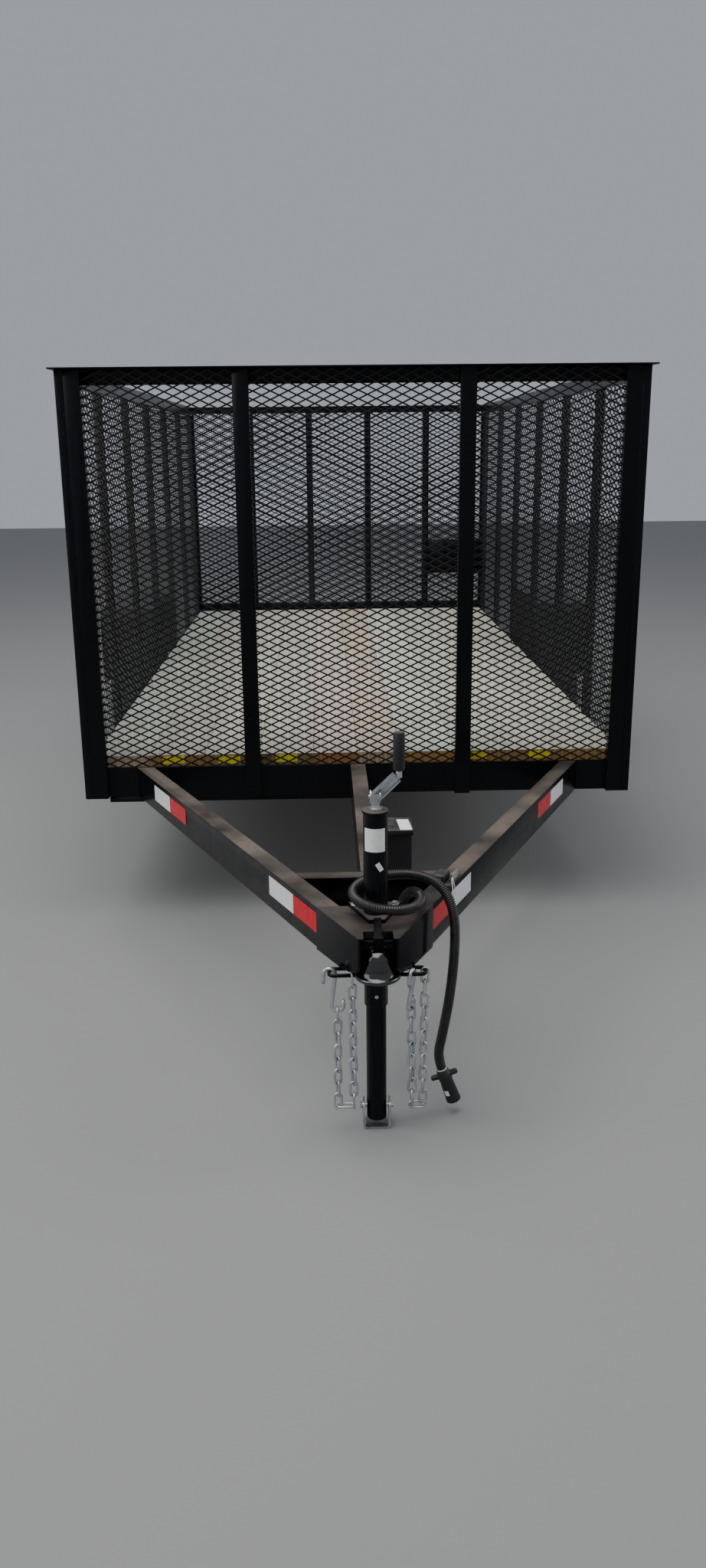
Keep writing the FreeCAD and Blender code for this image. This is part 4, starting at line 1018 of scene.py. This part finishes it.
fit_wheels("rim", join("rim", [barrel, disc]), silver.weather(
    0.05, 6, 0.4, 0.8, (0.56, 0.57, 0.58), (0.16, 0.14, 0.12), (0.28, 0.6), 0.55, (0.75, 0.3),
    height=silver.noise(0.002, 2), depth=0.00008), replaces=True)
nuts = [place_bolt((0.024, nut_ring * cos(turn), nut_ring * sin(turn)), (1, 0, 0),
                   0.0115, turn, 1.8)
        for turn in (radians(30 + 60 * number) for number in range(6))]
fit_wheels("wheel_nuts", join("wheel_nuts", nuts), zinc)
bpy.data.objects.remove(hex_bolt)
fit_wheels("dust_cap", spun("dust_cap", [
    (0.064, 0.0), (0.064, 0.033), (0.069, 0.0335), (0.07, 0.032), (0.071, 0.0305),
    (0.086, 0.0298), (0.091, 0.0275), (0.094, 0.0215), (0.0955, 0.01), (0.0958, 0.0)], 48),
    zinc)
for side, hand in hands:
    softened("hub_" + hand, frame_paint, "wheel_" + hand)

# Tail lights: an oval red lens in a black rubber surround at each end of the rear sill.
lamp_low, lamp_high = corners("tail_lights")
lamp_radius = (lamp_high.z - lamp_low.z) / 2
lamp_stretch = 0.039
lamp_x = lamp_high.x - lamp_radius - lamp_stretch


def ovals(name, radius, near, far, edge, material, node=None):
    """A lengthened disc on both sides of the sill, its edges rounded."""
    pair = []
    for side in (-1, 1):
        oval = cylinder(name, 48, radius, far - near, (0, 0, 0), (pi / 2, 0, 0))
        for corner in oval.data.vertices:
            corner.co.x += copysign(lamp_stretch, corner.co.x)
        modify(oval, "BEVEL", width=edge, segments=4, limit_method="ANGLE")
        smooth_by(35)
        oval.data.transform(move((side * lamp_x, lamp_low.y + (near + far) / 2,
                                                (lamp_low.z + lamp_high.z) / 2)))
        pair.append(oval)
    fit(join(name, pair), material, node=node)


ovals("tail_light_surrounds", lamp_radius - 0.0001, 0.0, 0.012, 0.003, black_plastic)
lens = Finish("red_lens", 0.6, Roughness=0.14)
wide, high = [lens.node("TexWave", {"bands_direction": axis},
                        {"Vector": lens.place(), "Scale": 62.0}) for axis in ("X", "Z")]
ovals("tail_light_lenses", lamp_radius - 0.0045, 0.004, 0.0215, 0.005, lens.paint(
    lens.mix(wide * 0.5 + high * 0.5, (0.36, 0.004, 0.006), (0.55, 0.012, 0.014)),
    height=wide + high, depth=0.0006), "tail_lights")

# Weld beads: small rippled seams where posts, uprights, tongue and gate bars meet the frame.
ripple = 0.0011
half_post = 0.0254
gate_bar = 0.0381


def bead(start, end):
    """A seam of overlapping ripples from one point to another."""
    heading = (end - start).normalized()
    count = int((end - start).length / ripple)
    return sleeve("bead", [(start + heading * (ripple * step), heading)
                           for step in range(count + 1)], [0.0022, 0.0031, 0.0034, 0.0031], 8)


seam_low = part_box("frame_header")[0][2] + 0.004
seam_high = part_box("frame_header")[1][2] - 0.004
header_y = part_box("frame_header")[0][1]
side_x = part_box("frame_rail_right")[1][0]
tongue_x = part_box("tongue_rail_right")[1][0]
seams = [(post + edge, header_y) for post in (-0.351, 0.351) for edge in (-half_post, half_post)]
seams += [(x, header_y) for x in (-side_x + 2 * half_post, side_x - 2 * half_post,
                                  -half_post, half_post)]
seams += [(side * x, header_y - 0.0005) for side in (-1, 1)
          for x in (tongue_x, tongue_x - 0.0563)]
for bay in range(7):
    y = front_y + half_post + (deck_back + 0.0081 - front_y - 2 * half_post) * bay / 6
    seams += [(side * side_x, y + edge) for side in (-1, 1) for edge in (-half_post, half_post)
              if front_y + 0.01 < y + edge < deck_back]
beads = [bead(Vector((x, y, seam_low)), Vector((x, y, seam_high))) for x, y in seams]
fit(join("frame_weld_beads", beads), frame_paint)
gate_low, gate_high = corners("gate_frame")
gate_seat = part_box("gate_mesh")[0][2] + 2 * half_post
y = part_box("gate_mesh")[1][1] + gate_bar
beads = []
for bay in range(6):
    x = gate_low.x + gate_bar / 2 + (gate_high.x - gate_low.x - gate_bar) * bay / 5
    beads.append(bead(Vector((x - 0.017, y, gate_seat)), Vector((x + 0.017, y, gate_seat))))
fit(join("gate_weld_beads", beads), frame_paint, body="gate")

# Expanded metal: slit and stretched sheet whose raised strands leave diamonds, long way across.
# One pair of diamonds is shaped, repeated over each wall and cut to the wall's size.
mesh_long = 0.0544
mesh_short = 0.0254
mesh_strand = 0.0036
mesh_bond = 0.011
mesh_rise = 0.0016
mesh_sheet = 0.0022
mesh_edge = 0.0006
mesh_paint = black_paint("mesh_black_paint", 0.03, wear=0.2, gloss=0.35, rough=0.22)
for wall, body, along in (("front", "trailer", 0), ("left", "trailer", 1),
                          ("right", "trailer", 1), ("gate", "gate", 0)):
    low, high = corners(wall + "_mesh")
    middle = (low + high) / 2
    width = (high - low)[along]
    tall = high.z - low.z
    first = shape(bpy.ops.mesh.primitive_circle_add, wall + "_expanded_metal", vertices=4,
                  radius=1, fill_type="NGON", rotation=(pi / 2, 0, 0))
    for corner in first.data.vertices:
        corner.co = (corner.co.x * mesh_long / 2, 0, corner.co.z * mesh_short / 2)
    mode("EDIT", "SELECT")
    bpy.ops.mesh.inset(thickness=mesh_strand / 2)
    bpy.ops.mesh.delete(type="ONLY_FACE")
    mode("OBJECT")
    for corner in first.data.vertices:
        if (abs(corner.co.x) < mesh_long / 2 - 0.0005
                and abs(corner.co.z) < mesh_short / 2 - 0.0005):
            if abs(corner.co.x) > 0.004:
                corner.co.x = copysign(mesh_long / 2 - mesh_bond / 2, corner.co.x)
            else:
                corner.co.z = copysign(mesh_short / 2 - mesh_strand * 0.62, corner.co.z)
                corner.co.y = copysign(mesh_rise, corner.co.z)
    second = copied(first, move((mesh_long / 2, 0, mesh_short / 2)))
    panel = join(first.name, [first, second])
    for step, count in (((mesh_long, 0, 0), ceil(width / mesh_long) + 1),
                        ((0, 0, mesh_short), ceil(tall / mesh_short) + 1)):
        modify(panel, "ARRAY", use_relative_offset=False, use_constant_offset=True,
               constant_offset_displace=step, count=count, use_merge_vertices=True,
               merge_threshold=0.0002)
    mode("EDIT")
    for point, normal in (((0, 0, 0), (-1, 0, 0)), ((width, 0, 0), (1, 0, 0)),
                          ((0, 0, mesh_edge), (0, 0, -1)), ((0, 0, tall - mesh_edge), (0, 0, 1))):
        bpy.ops.mesh.select_all(action="SELECT")
        bpy.ops.mesh.bisect(plane_co=point, plane_no=normal, clear_outer=True)
    mode("OBJECT")
    modify(panel, "SOLIDIFY", thickness=mesh_sheet, offset=0)
    if along == 1:
        panel.data.transform(Matrix.Rotation(pi / 2, 4, "Z"))
        panel.data.transform(move((middle.x, low.y, low.z)))
    else:
        panel.data.transform(move((low.x, middle.y, low.z)))
    fit(panel, mesh_paint, body=body, node=wall + "_mesh")
